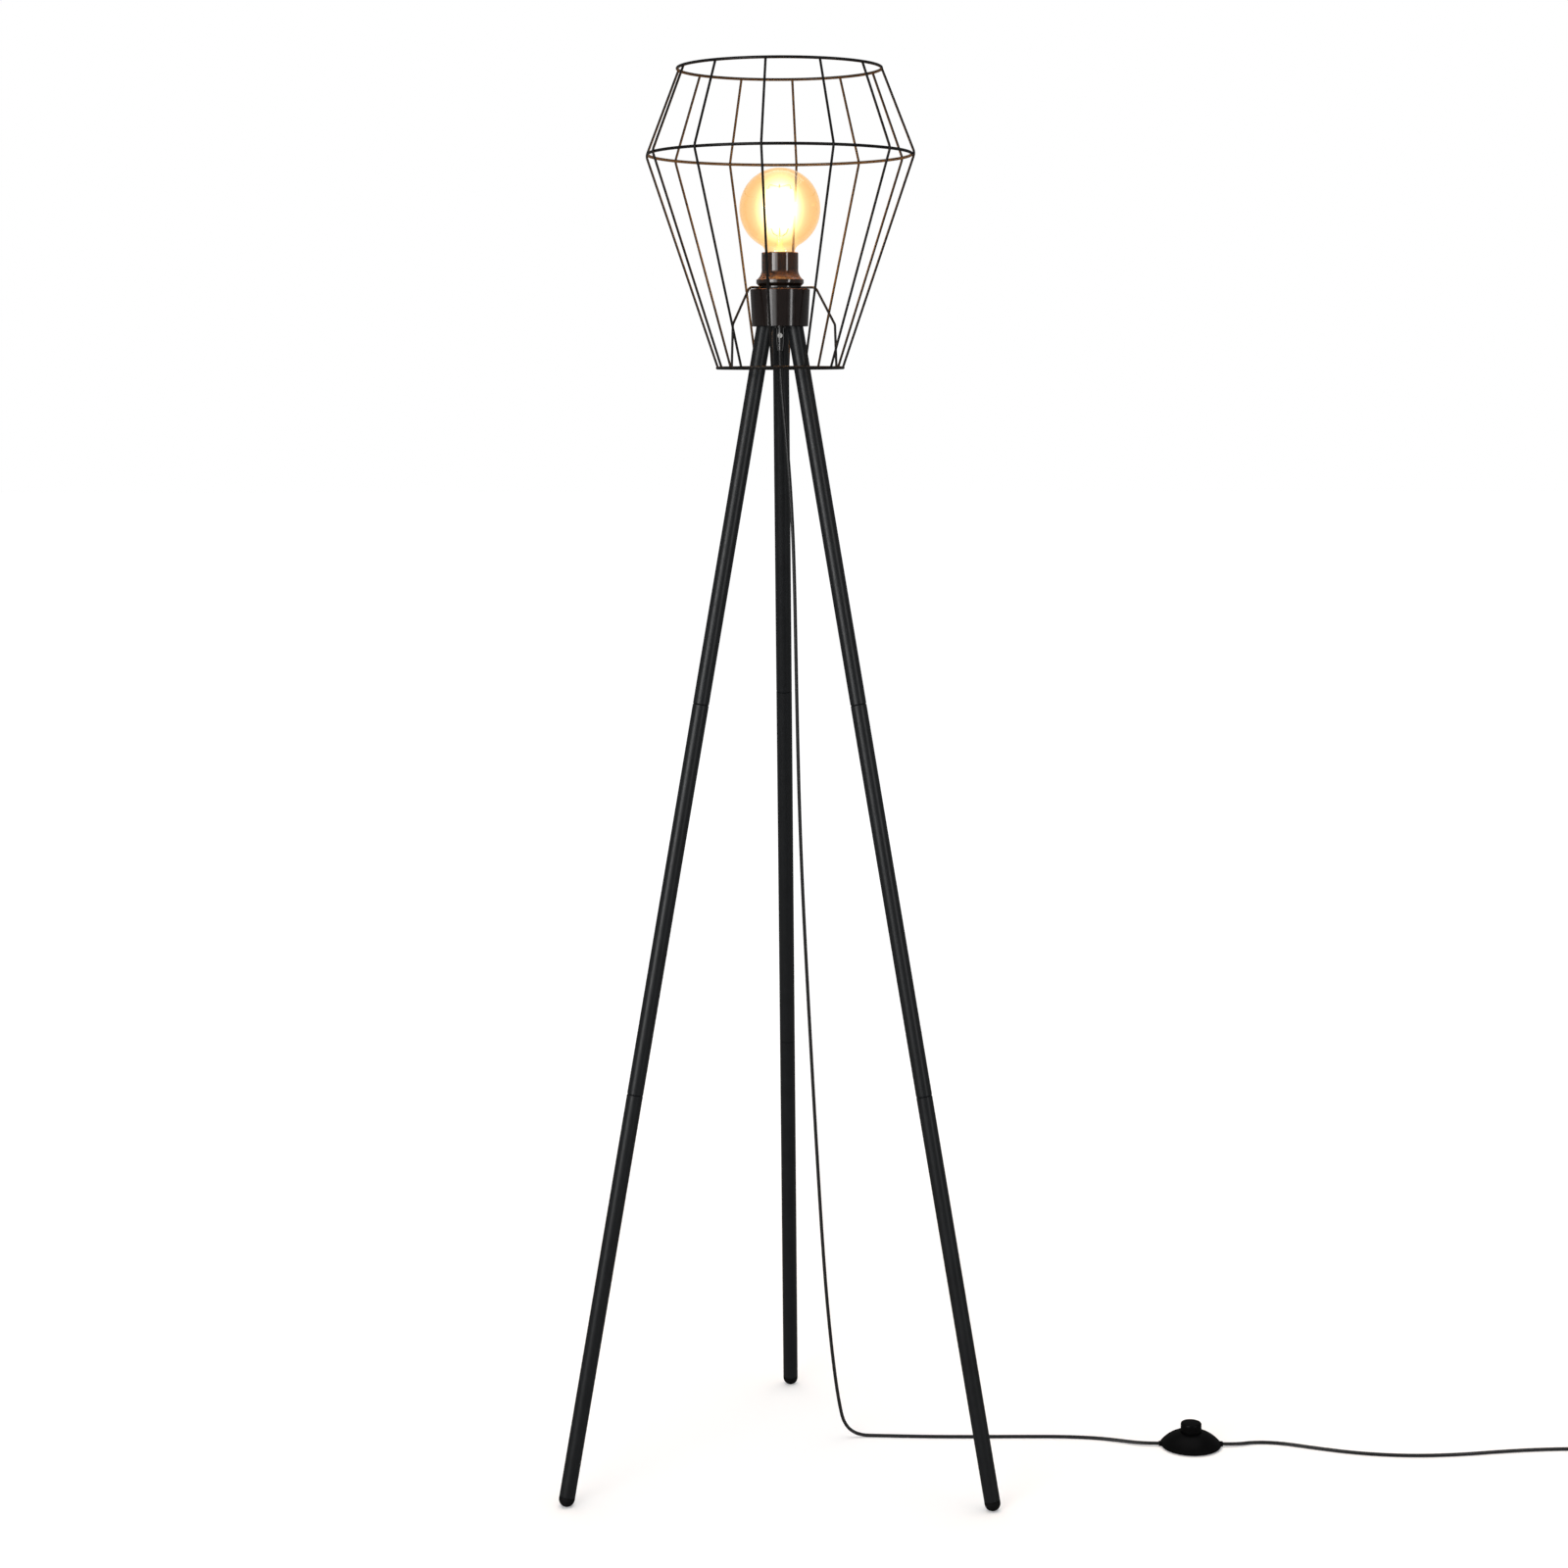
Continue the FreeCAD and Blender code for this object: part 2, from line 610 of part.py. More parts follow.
def make_cage():
    """Three rings, ribs bent at the middle ring and three arms, each wire ending where it is welded."""
    rib_route = [
        (BOTTOM_RING_RADIUS, 0, CAGE_BOTTOM),
        (MIDDLE_BEND_RADIUS, 0, CAGE_MIDDLE),
        (TOP_RING_RADIUS, 0, CAGE_TOP),
    ]
    rib_path, _ = route_wire(rib_route, RIB_BEND)
    inside_bend = RIB_BEND * (1 / math.cos(half_turn(*[Vector(*p) for p in rib_route])) - 1)
    middle_ring_radius = MIDDLE_BEND_RADIUS - inside_bend - RIB_WIRE - RING_WIRE + WELD_BITE
    rings = {}
    for name, radius, height in (("top", TOP_RING_RADIUS, CAGE_TOP),
                                 ("middle", middle_ring_radius, CAGE_MIDDLE),
                                 ("bottom", BOTTOM_RING_RADIUS, CAGE_BOTTOM)):
        ring = Part.makeTorus(radius, RING_WIRE, Vector(0, 0, height), UP)
        rings[name] = ring
        save("cage_%s_ring" % name, ring)

    rib = round_tube(rib_path, RIB_WIRE)
    for ring in rings.values():
        rib = largest(rib.cut(ring))
    for i in range(RIB_COUNT):
        save("cage_rib_%02d" % (i + 1), around(rib, RIB_PHASE + i * 360 / RIB_COUNT))

    washer = turned([
        (NIPPLE_RADIUS, CUP_TOP),
        (WASHER_RADIUS, CUP_TOP),
        (WASHER_RADIUS, CUP_TOP + WASHER_THICKNESS),
        (NIPPLE_RADIUS, CUP_TOP + WASHER_THICKNESS),
    ])
    save("spider_washer", washer)
    foot_radius = BOTTOM_RING_RADIUS - RING_WIRE - RIB_WIRE + WELD_BITE
    arm_path, _ = route_wire([
        (WASHER_RADIUS - ARM_LAP, 0, CUP_TOP + RIB_WIRE),
        (ARM_SHOULDER_RADIUS, 0, CUP_TOP + RIB_WIRE),
        (ARM_KNEE_RADIUS, 0, ARM_KNEE_HEIGHT),
        (foot_radius, 0, CAGE_BOTTOM - RING_WIRE),
    ], ARM_BEND)
    arm = round_tube(arm_path, RIB_WIRE)
    arm = largest(arm.cut(washer))
    arm = largest(arm.cut(rings["bottom"]))
    for i in range(ARM_COUNT):
        save("spider_arm_%d" % (i + 1), around(arm, ARM_PHASE + i * 360 / ARM_COUNT))


def largest(shape):
    """The biggest solid of a cut, without the crumbs beyond a trimming face."""
    return max(shape.Solids, key=lambda solid: solid.Volume)


def make_holder():
    """Lamp holder: base with a screwed spigot, flared shell, ceramic core, terminals and contacts."""
    foot = CUP_TOP + WASHER_THICKNESS
    save("socket_base", turned([
        (NIPPLE_RADIUS, foot),
        (HOLDER_FOOT_RADIUS, foot),
        (HOLDER_FOOT_RADIUS, foot + HOLDER_FOOT_BAND),
        (HOLDER_RIM_RADIUS - HOLDER_RIM_EDGE, foot + HOLDER_FLARE_TOP),
        ((HOLDER_RIM_RADIUS, foot + HOLDER_FLARE_TOP + SHELL_EDGE), (HOLDER_RIM_RADIUS, foot + HOLDER_RIM_BAND)),
        (HOLDER_RIM_RADIUS, HOLDER_SEAM),
        (SPIGOT_RADIUS, HOLDER_SEAM),
        (SPIGOT_RADIUS, HOLDER_SEAM + SPIGOT_HEIGHT),
        (SPIGOT_RADIUS - SPIGOT_WALL, HOLDER_SEAM + SPIGOT_HEIGHT),
        (SPIGOT_RADIUS - SPIGOT_WALL, CORE_BOTTOM),
        (NIPPLE_RADIUS, CORE_BOTTOM),
    ]))

    thread = SPIGOT_RADIUS + SPIGOT_PLAY
    band_top = HOLDER_SEAM + SHELL_BAND
    edge = SHELL_EDGE + SPIGOT_PLAY
    flare = (SHELL_FLARE_RADIUS, band_top + SHELL_FLARE_RISE)
    neck_edge = (HOLDER_NECK_RADIUS - HOLDER_NECK_EDGE, HOLDER_MOUTH - HOLDER_NECK_EDGE)
    save("socket_shell", turned([
        (thread, HOLDER_SEAM),
        (HOLDER_RIM_RADIUS, HOLDER_SEAM),
        (HOLDER_RIM_RADIUS, band_top - SHELL_EDGE),
        ((HOLDER_RIM_RADIUS - edge / 4, band_top - edge / 4), (HOLDER_RIM_RADIUS - edge, band_top)),
        (flare, (HOLDER_NECK_RADIUS, HOLDER_NECK_FOOT)),
        (HOLDER_NECK_RADIUS, HOLDER_MOUTH - HOLDER_NECK_EDGE),
        rounded(HOLDER_NECK_EDGE, neck_edge, 0, 90),
        (MOUTH_BORE, HOLDER_MOUTH),
        (MOUTH_BORE, MOUTH_BORE_BOTTOM),
        (thread, HOLDER_SEAM + SPIGOT_HEIGHT + SPIGOT_PLAY),
    ]))

    core = turned([
        (0, CORE_BOTTOM),
        (CORE_RADIUS, CORE_BOTTOM),
        (CORE_RADIUS, CORE_WALL_TOP),
        (SLEEVE_BORE + SLEEVE_WALL, CORE_WALL_TOP),
        (SLEEVE_BORE + SLEEVE_WALL, CORE_TOP),
        (0, CORE_TOP),
    ])
    head_top = CORE_TOP + TERMINAL_HEAD
    screw = bar(TERMINAL_RADIUS, TERMINAL_BOTTOM, CORE_TOP).fuse(bar(TERMINAL_HEAD_RADIUS, CORE_TOP, head_top))
    slot = Part.makeBox(2 * TERMINAL_HEAD_RADIUS, SCREW_SLOT, TERMINAL_SLOT_DEPTH)
    slot.translate(Vector(-TERMINAL_HEAD_RADIUS, -SCREW_SLOT / 2, head_top - TERMINAL_SLOT_DEPTH))
    screw = screw.cut(slot).removeSplitter()
    terminals = []
    leads = []
    for side in (-1, 1):
        terminals.append(screw.translated(Vector(side * TERMINAL_OFFSET, 0, 0)))
        leads.append(bar(LEAD_RADIUS, LEADS_BOTTOM, LEADS_TOP).translated(Vector(side * LEAD_OFFSET, 0, 0)))
    core = core.cut(Part.makeCompound(terminals)).cut(Part.makeCompound(leads))
    save("socket_core", core)
    save("socket_terminal_screws", Part.makeCompound(terminals))
    save("socket_leads", Part.makeCompound(leads))
    save("socket_thread_sleeve", turned([
        (SLEEVE_BORE, SLEEVE_BOTTOM),
        (SLEEVE_BORE + SLEEVE_WALL, SLEEVE_BOTTOM),
        (SLEEVE_BORE + SLEEVE_WALL, SLEEVE_TOP),
        (SLEEVE_BORE, SLEEVE_TOP),
    ]))
    dome_edge = (CONTACT_DOME_RADIUS, CORE_TOP + CONTACT_THICKNESS)
    save("socket_centre_contact", turned([
        (0, CORE_TOP),
        (CONTACT_RADIUS, CORE_TOP),
        (CONTACT_RADIUS, CORE_TOP + CONTACT_THICKNESS),
        dome_edge,
        crown(dome_edge, dome_edge[1] + CONTACT_DOME),
    ]))


def globe_outline(radius, neck, bottom):
    """Half outline of the globe and its neck, from the neck's foot to the top of the globe."""
    gap = neck + BULB_NECK_FILLET
    reach = radius + BULB_NECK_FILLET
    drop = math.sqrt(reach ** 2 - gap ** 2)
    fillet_centre = (gap, GLOBE_HEIGHT - drop)
    bearing = math.degrees(math.atan2(drop, -gap))
    fillet = rounded(BULB_NECK_FILLET, fillet_centre, 180, bearing)
    globe = rounded(radius, (0, GLOBE_HEIGHT), bearing - 180, 90)
    return [(neck, bottom), (neck, fillet_centre[1]), fillet, globe]


def make_bulb():
    """Hollow globe, screw cap with its insulator and tip, and the stem with filaments and supports."""
    foot = [(0, BULB_NECK_BOTTOM)]
    neck_inside = BULB_NECK_RADIUS - GLASS
    outer = turned(globe_outline(GLOBE_RADIUS, BULB_NECK_RADIUS, BULB_NECK_BOTTOM) + foot)
    inner = turned(globe_outline(GLOBE_RADIUS - GLASS, neck_inside, BULB_NECK_BOTTOM) + foot)
    save("bulb_globe", outer.cut(inner))

    cap_inside = CAP_RADIUS - CAP_WALL
    root = CAP_RADIUS - THREAD_DEPTH
    height = CAP_BOTTOM + CAP_EDGE
    threads = [(cap_inside, CAP_BOTTOM), (root, height)]
    for _ in range(THREAD_COUNT):
        threads.append(((CAP_RADIUS, height + THREAD_PITCH / 2), (root, height + THREAD_PITCH)))
        height += THREAD_PITCH
    save("bulb_cap", turned(threads + [
        (root, BULB_NECK_BOTTOM - CAP_SHOULDER),
        (neck_inside + CAP_LIP, BULB_NECK_BOTTOM - CAP_EDGE),
        (neck_inside + CAP_LIP, BULB_NECK_BOTTOM),
        (neck_inside - STEM_SEAT, BULB_NECK_BOTTOM),
        (cap_inside, BULB_NECK_BOTTOM - CAP_SHOULDER - THREAD_DEPTH),
    ]))
    tip_top = TIP_BOTTOM + TIP_RISE
    save("bulb_insulator", turned([
        (0, tip_top),
        (INSULATOR_FOOT, tip_top),
        ((9.4, tip_top + 1.0), (cap_inside, CAP_BOTTOM)),
        (cap_inside, CAP_BOTTOM + INSULATOR_LAP),
        (0, CAP_BOTTOM + INSULATOR_LAP),
    ]))
    save("bulb_tip_contact", turned([
        (0, TIP_BOTTOM),
        ((3.0, TIP_BOTTOM + 0.4), (TIP_RADIUS, tip_top)),
        (0, tip_top),
    ]))

    rod_top = (ROD_RADIUS, CROWN_HEIGHT - ROD_CROWN)
    stem_foot = neck_inside - STEM_SEAT
    stem = turned([
        (0, BULB_NECK_BOTTOM),
        (stem_foot, BULB_NECK_BOTTOM),
        (stem_foot, BULB_NECK_BOTTOM + STEM_FOOT_EDGE),
        ((5.2, BULB_NECK_BOTTOM + 3.0), (STEM_RADIUS, BULB_NECK_BOTTOM + STEM_FLARE)),
        (STEM_RADIUS, STEM_TOP - STEM_SHOULDER),
        ((2.6, STEM_TOP - 1.4), (ROD_RADIUS, STEM_TOP)),
        rod_top,
        crown(rod_top, CROWN_HEIGHT),
    ])
    save("bulb_stem", stem)

    foot = Vector(FILAMENT_FOOT[0], 0, FILAMENT_FOOT[1])
    head = Vector(FILAMENT_HEAD[0], 0, FILAMENT_HEAD[1])
    stick = Part.makeCylinder(FILAMENT_RADIUS, foot.distanceToPoint(head), foot, head - foot)
    lower, _ = route_wire([
        (SUPPORT_ROOT, 0, STEM_TOP - 2.5),
        (SUPPORT_KNEE, 0, STEM_TOP + SUPPORT_RADIUS),
        tuple(foot),
    ], SUPPORT_BEND)
    upper, _ = route_wire([
        tuple(head),
        (SUPPORT_ELBOW, 0, CROWN_HEIGHT),
        (0, 0, CROWN_HEIGHT - SUPPORT_BEND),
    ], SUPPORT_BEND)
    wires = []
    for path in (lower, upper):
        wires.append(largest(round_tube(path, SUPPORT_RADIUS).cut(stick).cut(stem)))
    turns = [(i + 0.5) * 360 / FILAMENT_COUNT for i in range(FILAMENT_COUNT)]
    save("bulb_filaments", Part.makeCompound([around(stick, turn) for turn in turns]))
    save("bulb_lead_wires", Part.makeCompound([around(wire, turn) for turn in turns for wire in wires]))


def make_switch():
    """Foot switch: base with a spring post, domed cover with cord collars, push button and spring."""
    centre = Vector(SWITCH_X, SWITCH_Y, 0)
    save("switch_base", turned([
        (0, 0),
        (BASE_RADIUS - BASE_CHAMFER, 0),
        (BASE_RADIUS, BASE_CHAMFER),
        (BASE_RADIUS, BASE_THICKNESS),
        (POST_FOOT, BASE_THICKNESS),
        (POST_HEAD, BASE_THICKNESS + POST_HEIGHT),
        (0, BASE_THICKNESS + POST_HEIGHT),
    ]).translated(centre))

    mouth = SWITCH_HOLE + SWITCH_LIP
    inner_radius = SWITCH_RADIUS - SWITCH_WALL
    inner_top = SWITCH_TOP - SWITCH_WALL
    skirt_bore = BASE_RADIUS + BASE_PLAY
    cover = turned([
        (skirt_bore, SWITCH_SKIRT),
        (skirt_bore + SWITCH_SKIRT_WALL, SWITCH_SKIRT),
        (SWITCH_BULGE, (SWITCH_RADIUS, SWITCH_WAIST)),
        (dome_middle(SWITCH_RADIUS, SWITCH_TOP), (mouth, SWITCH_TOP)),
        (SWITCH_HOLE, SWITCH_TOP),
        (SWITCH_HOLE, inner_top),
        (mouth, inner_top),
        (dome_middle(inner_radius, inner_top), (inner_radius, SWITCH_WAIST)),
        (inner_radius, BASE_THICKNESS),
        (skirt_bore, BASE_THICKNESS),
    ])
    for side in (-1, 1):
        start = Vector(side * skirt_bore, 0, SWITCH_CORD_HEIGHT)
        collar = Part.makeCylinder(COLLAR_RADIUS, SWITCH_COLLAR - skirt_bore, start, Vector(side, 0, 0))
        cover = cover.fuse(collar)
    save("switch_cover", cover.removeSplitter().translated(centre))

    flange_top = inner_top - BUTTON_FLANGE_GAP
    flange_radius = BUTTON_RADIUS + BUTTON_FLANGE_WIDTH
    edge_centre = (BUTTON_RADIUS - BUTTON_EDGE, BUTTON_TOP - BUTTON_CROWN - BUTTON_EDGE)
    top_edge = rounded(BUTTON_EDGE, edge_centre, 0, BUTTON_EDGE_BEARING)
    save("switch_button", turned([
        (BUTTON_RECESS, flange_top - BUTTON_FLANGE),
        (flange_radius, flange_top - BUTTON_FLANGE),
        (flange_radius, flange_top),
        (BUTTON_RADIUS, flange_top),
        (BUTTON_RADIUS, edge_centre[1]),
        top_edge,
        crown(top_edge[1], BUTTON_TOP),
        (0, BUTTON_CEILING),
        (BUTTON_RECESS, BUTTON_CEILING),
    ]).translated(centre))

    spring, path = wound(spring_line, SPRING_TURNS, SPRING_WIRE)
    print("switch_spring: least gap to itself %.2f mm" % least_self_gap(path, SPRING_WIRE))
    save("switch_spring", spring.translated(centre))


def dome_middle(radius, top):
    """Middle of the dome's arc from its waist in to the button's hole."""
    width = radius - SWITCH_HOLE - SWITCH_LIP
    return (radius - width * (1 - SWITCH_SWELL), SWITCH_WAIST + (top - SWITCH_WAIST) * SWITCH_SWELL)


def spring_line(turn):
    """Centre line of the spring: half a level turn, a steady climb and half a level turn."""
    bottom = BASE_THICKNESS + SPRING_WIRE
    rise = BUTTON_CEILING - BASE_THICKNESS - 2 * SPRING_WIRE
    angle = 2 * math.pi * turn
    climb = smooth_rise(turn - 0.5, SPRING_TURNS - 1.0)
    return Vector(SPRING_RADIUS * math.cos(angle), SPRING_RADIUS * math.sin(angle), bottom + rise * climb)


def smooth_rise(turn, turns):
    """Share of a steady climb over some turns, easing in and out over a quarter turn."""
    ease = 0.25
    if turn <= 0:
        return 0.0
    if turn >= turns:
        return 1.0
    full = turns - ease
    if turn < ease:
        return turn ** 2 / (2 * ease) / full
    if turn > turns - ease:
        return 1 - (turns - turn) ** 2 / (2 * ease) / full
    return (turn - ease / 2) / full


def coil_line(turn):
    """Centre line of the spare cord: in on the floor, up over half a turn, out on top."""
    climb_start = COIL_TURNS_IN
    climb_end = COIL_TURNS_IN + 0.5
    if turn < climb_start:
        radius = COIL_INNER + COIL_PITCH * (climb_start - turn)
    elif turn > climb_end:
        radius = COIL_INNER + COIL_PITCH * (turn - climb_end)
    else:
        radius = COIL_INNER
    climb = smooth_step((turn - climb_start) / (climb_end - climb_start))
    angle = 2 * math.pi * (turn - 0.25)
    return Vector(COIL_X + radius * math.cos(angle), COIL_Y + radius * math.sin(angle),
                  FLOOR_LINE + (COIL_UPPER - FLOOR_LINE) * climb)


def make_cords():
    save("cord_to_switch", cord_along("cord_to_switch", FALL_ROUTE))
    save("cord_to_plug", cord_along("cord_to_plug", PLUG_ROUTE))
    turns = COIL_TURNS_IN + 0.5 + COIL_TURNS_OUT
    coil, path = wound(coil_line, turns, CORD_RADIUS, COIL_LEAD_IN, COIL_TAIL)
    print("cord_coil: length %.0f mm, least gap to itself %.2f mm" % (
        path.Length, least_self_gap(path, CORD_RADIUS)))
    print("cord_coil: volume %.0f mm3, section times length %.0f mm3" % (
        coil.Volume, math.pi * CORD_RADIUS ** 2 * path.Length))
    save("cord_coil", coil)


def make_plug():
    """Flat two-pin plug lying on the floor, its cord end towards the coil."""
    shoulder = PLUG_START_Y + RELIEF_LENGTH
    face = shoulder + PLUG_LENGTH
    half = PLUG_WIDTH / 2
    half_face = PLUG_FACE_WIDTH / 2
    corners = [
        (-PLUG_NOSE, shoulder),
        (PLUG_NOSE, shoulder),
        (half, shoulder + PLUG_WAIST),
        (half, shoulder + PLUG_GRIP_END),
        (half_face, face),
        (-half_face, face),
        (-half, shoulder + PLUG_GRIP_END),
        (-half, shoulder + PLUG_WAIST),
    ]
    outline = Part.makePolygon([Vector(COIL_EXIT_X + x, y, 0) for x, y in corners + corners[:1]])
    body = Part.Face(outline).extrude(Vector(0, 0, 2 * COIL_UPPER))
    level = [edge for edge in body.Edges if edge.BoundBox.ZLength < PLUG_EDGE]
    body = body.makeFillet(PLUG_EDGE, level)

    along = Vector(0, 1, 0)
    relief_start = Vector(COIL_EXIT_X, PLUG_START_Y, COIL_UPPER)
    relief = Part.makeCone(CORD_RADIUS + RELIEF_WALL, PLUG_NOSE - RELIEF_ROOT,
                           RELIEF_LENGTH + RELIEF_LAP, relief_start, along)
    for i in range(GROOVE_COUNT):
        start = relief_start + along * (GROOVE_START + GROOVE_PITCH * i)
        groove = Part.makeCylinder(2 * PLUG_NOSE, GROOVE_WIDTH, start, along)
        core = Part.makeCylinder(CORD_RADIUS + GROOVE_WALL + GROOVE_STEP * i, GROOVE_WIDTH, start, along)
        relief = relief.cut(groove.cut(core))
    body = body.fuse(relief)

    pins = []
    for side in (-1, 1):
        root = Vector(COIL_EXIT_X + side * PIN_SPACING / 2, face - PIN_ROOT, COIL_UPPER)
        bare = root + along * (PIN_ROOT + PIN_SLEEVE)
        tip = root + along * (PIN_ROOT + PIN_LENGTH - PIN_TIP)
        body = body.fuse(Part.makeCylinder(PIN_SLEEVE_RADIUS, PIN_ROOT + PIN_SLEEVE, root, along))
        shank = Part.makeCylinder(PIN_SHANK_RADIUS, PIN_ROOT + PIN_SLEEVE, root, along)
        head = Part.makeCylinder(PIN_RADIUS, PIN_LENGTH - PIN_SLEEVE - PIN_TIP, bare, along)
        end = Part.makeCone(PIN_RADIUS, PIN_RADIUS - PIN_TIP_CHAMFER, PIN_TIP, tip, along)
        pins.append(shank.fuse(head).fuse(end).removeSplitter())
    save("plug_body", body.cut(Part.makeCompound(pins)).removeSplitter())
    save("plug_pins", Part.makeCompound(pins))


os.makedirs("parts", exist_ok=True)
make_legs()
make_hub()
make_cord_grip()
make_cage()
make_holder()
make_bulb()
make_switch()
make_cords()
make_plug()
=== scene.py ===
import json
import math

import bpy
from mathutils import Matrix, Vector

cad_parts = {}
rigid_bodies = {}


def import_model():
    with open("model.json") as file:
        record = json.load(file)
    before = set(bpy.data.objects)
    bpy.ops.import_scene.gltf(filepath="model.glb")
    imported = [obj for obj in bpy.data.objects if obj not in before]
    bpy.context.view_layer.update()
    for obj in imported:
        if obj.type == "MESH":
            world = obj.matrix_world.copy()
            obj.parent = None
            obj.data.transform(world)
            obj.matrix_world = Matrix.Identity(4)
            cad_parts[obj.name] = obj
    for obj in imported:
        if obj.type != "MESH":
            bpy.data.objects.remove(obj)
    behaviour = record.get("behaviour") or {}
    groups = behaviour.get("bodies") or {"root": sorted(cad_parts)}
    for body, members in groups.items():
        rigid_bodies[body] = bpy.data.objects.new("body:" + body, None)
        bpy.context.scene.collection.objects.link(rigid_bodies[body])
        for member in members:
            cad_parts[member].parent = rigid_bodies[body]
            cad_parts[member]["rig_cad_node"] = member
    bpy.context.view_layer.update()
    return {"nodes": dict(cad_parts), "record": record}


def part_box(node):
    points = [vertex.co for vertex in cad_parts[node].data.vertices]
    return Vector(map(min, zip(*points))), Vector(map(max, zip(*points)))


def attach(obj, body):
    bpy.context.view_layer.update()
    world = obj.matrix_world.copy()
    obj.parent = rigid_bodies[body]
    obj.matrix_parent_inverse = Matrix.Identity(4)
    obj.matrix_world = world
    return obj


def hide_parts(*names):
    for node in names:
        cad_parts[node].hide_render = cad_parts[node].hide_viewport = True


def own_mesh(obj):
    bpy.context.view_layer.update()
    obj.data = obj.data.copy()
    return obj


# Looks of a tripod floor lamp with a wire cage shade, in metres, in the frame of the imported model.
# Object coordinates in the materials are the frame's own, because every piece sits at its origin.

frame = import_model()


def middle(node):
    """Centre of a node's box."""
    low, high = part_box(node)
    return (low + high) / 2


# The lamp's own axis, and places that the frame gives
AXIS = Vector((middle("hub_cup").x, middle("hub_cup").y, 0))
SWITCH = middle("switch_button")
GLOBE_LOW, GLOBE_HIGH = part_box("bulb_globe")
GLOBE_RADIUS = (GLOBE_HIGH.x - GLOBE_LOW.x) / 2
GLOBE_CENTRE = GLOBE_HIGH.z - GLOBE_RADIUS
FILAMENTS = middle("bulb_filaments")
PLUG_LOW, PLUG_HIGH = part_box("plug_body")

# Camera, from the lamp's axis on the floor; angles in degrees
CAMERA_PLACE = Vector((0.0989, -2.8783, 1.0975))
CAMERA_TURN = 1.916
CAMERA_PITCH = 7.653
CAMERA_ROLL = -0.153
CAMERA_LENS = 66.45
CAMERA_SENSOR = 36.0

# Cord: its radius, the height of its centre on the floor, where it meets the switch's collars,
# and its length on either side of the switch
CORD_RADIUS = 0.0018
FLOOR_LINE = 0.0019
SWITCH_COLLAR = 0.0334
SWITCH_CORD_Y = 0.0600
SWITCH_CORD_HEIGHT = 0.003

# Coil of the spare cord: its middle, its innermost turn, the step between turns and their number
COIL_X = 0.856
COIL_ENTRY_Y = 0.058
COIL_INNER = 0.0155
COIL_PITCH = 0.0048
COIL_TURNS_IN = 1.75
COIL_TURNS_OUT = 2.0
COIL_UPPER = 0.0063
COIL_POINTS = 24
CLIMB_TURNS = 0.5

# Globe glass
NECK_RADIUS = 0.0146
NECK_FILLET = 0.008
NECK_STEPS = 10
GLOBE_STEPS = 56
GLOBE_SIDES = 128

# Foot switch's spring: its coil, its wire, its turns, the level turns at its ends, and the mesh's
# points per turn and sides
SPRING_LOW, SPRING_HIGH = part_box("switch_spring")
SPRING_RADIUS = 0.005
SPRING_WIRE = 0.0005
SPRING_TURNS = 5.5
SPRING_LEVEL = 0.5
SPRING_POINTS = 48
SPRING_SIDES = 12

# Haze of light in the globe: its reach, how fast it fades and its strength
HAZE_RADIUS = 0.042
HAZE_HEIGHT = 0.060
HAZE_FALL = 3.0
HAZE_STRENGTH = 300.0

# Half the floor's width, and the glow that whitens it for rays that see the background,
# near the lamp and far from it
FLOOR_HALF_WIDTH = 30.0
FLOOR_GLOW_NEAR = 0.27
FLOOR_GLOW_FAR = 0.72
FLOOR_GLOW_REACH = (0.6, 4.0)

# Even fill of the world on the object
FILL = 0.4

# Upright lamps round the object: their distance from its axis, height, and the height that they face
PANEL_DISTANCE = 3.1
PANEL_HEIGHT = 1.3
PANEL_AIM = 0.95

# The broad upright lamp: bearing, width, height and brightness
KEY_PANEL = (-26, 1.6, 2.2, 4.0)

# Lamps that only gloss sees: their height, then bearing, width and brightness of each;
# three make a gradient, one a strip
GLOSS_HEIGHT = 1.6
GLOSS_PANELS = [(-43, 0.42, 48.0), (-34, 0.54, 26.0), (-22, 0.70, 8.0), (47, 0.36, 38.0)]

# Square lamp overhead: place, width and brightness
OVERHEAD_PLACE = Vector((0.2, 0.4, 3.4))
OVERHEAD_WIDTH = 3.0
OVERHEAD_BRIGHTNESS = 2.2

# The lit bulb's two lamps, as wide as what glows: power, radius and whether only gloss sees it
BULB_COLOUR = (1.0, 0.56, 0.22)
BULB_LAMPS = {"bulb_glow": (20.0, 0.034, False), "bulb_glint": (1.1, 0.022, True)}

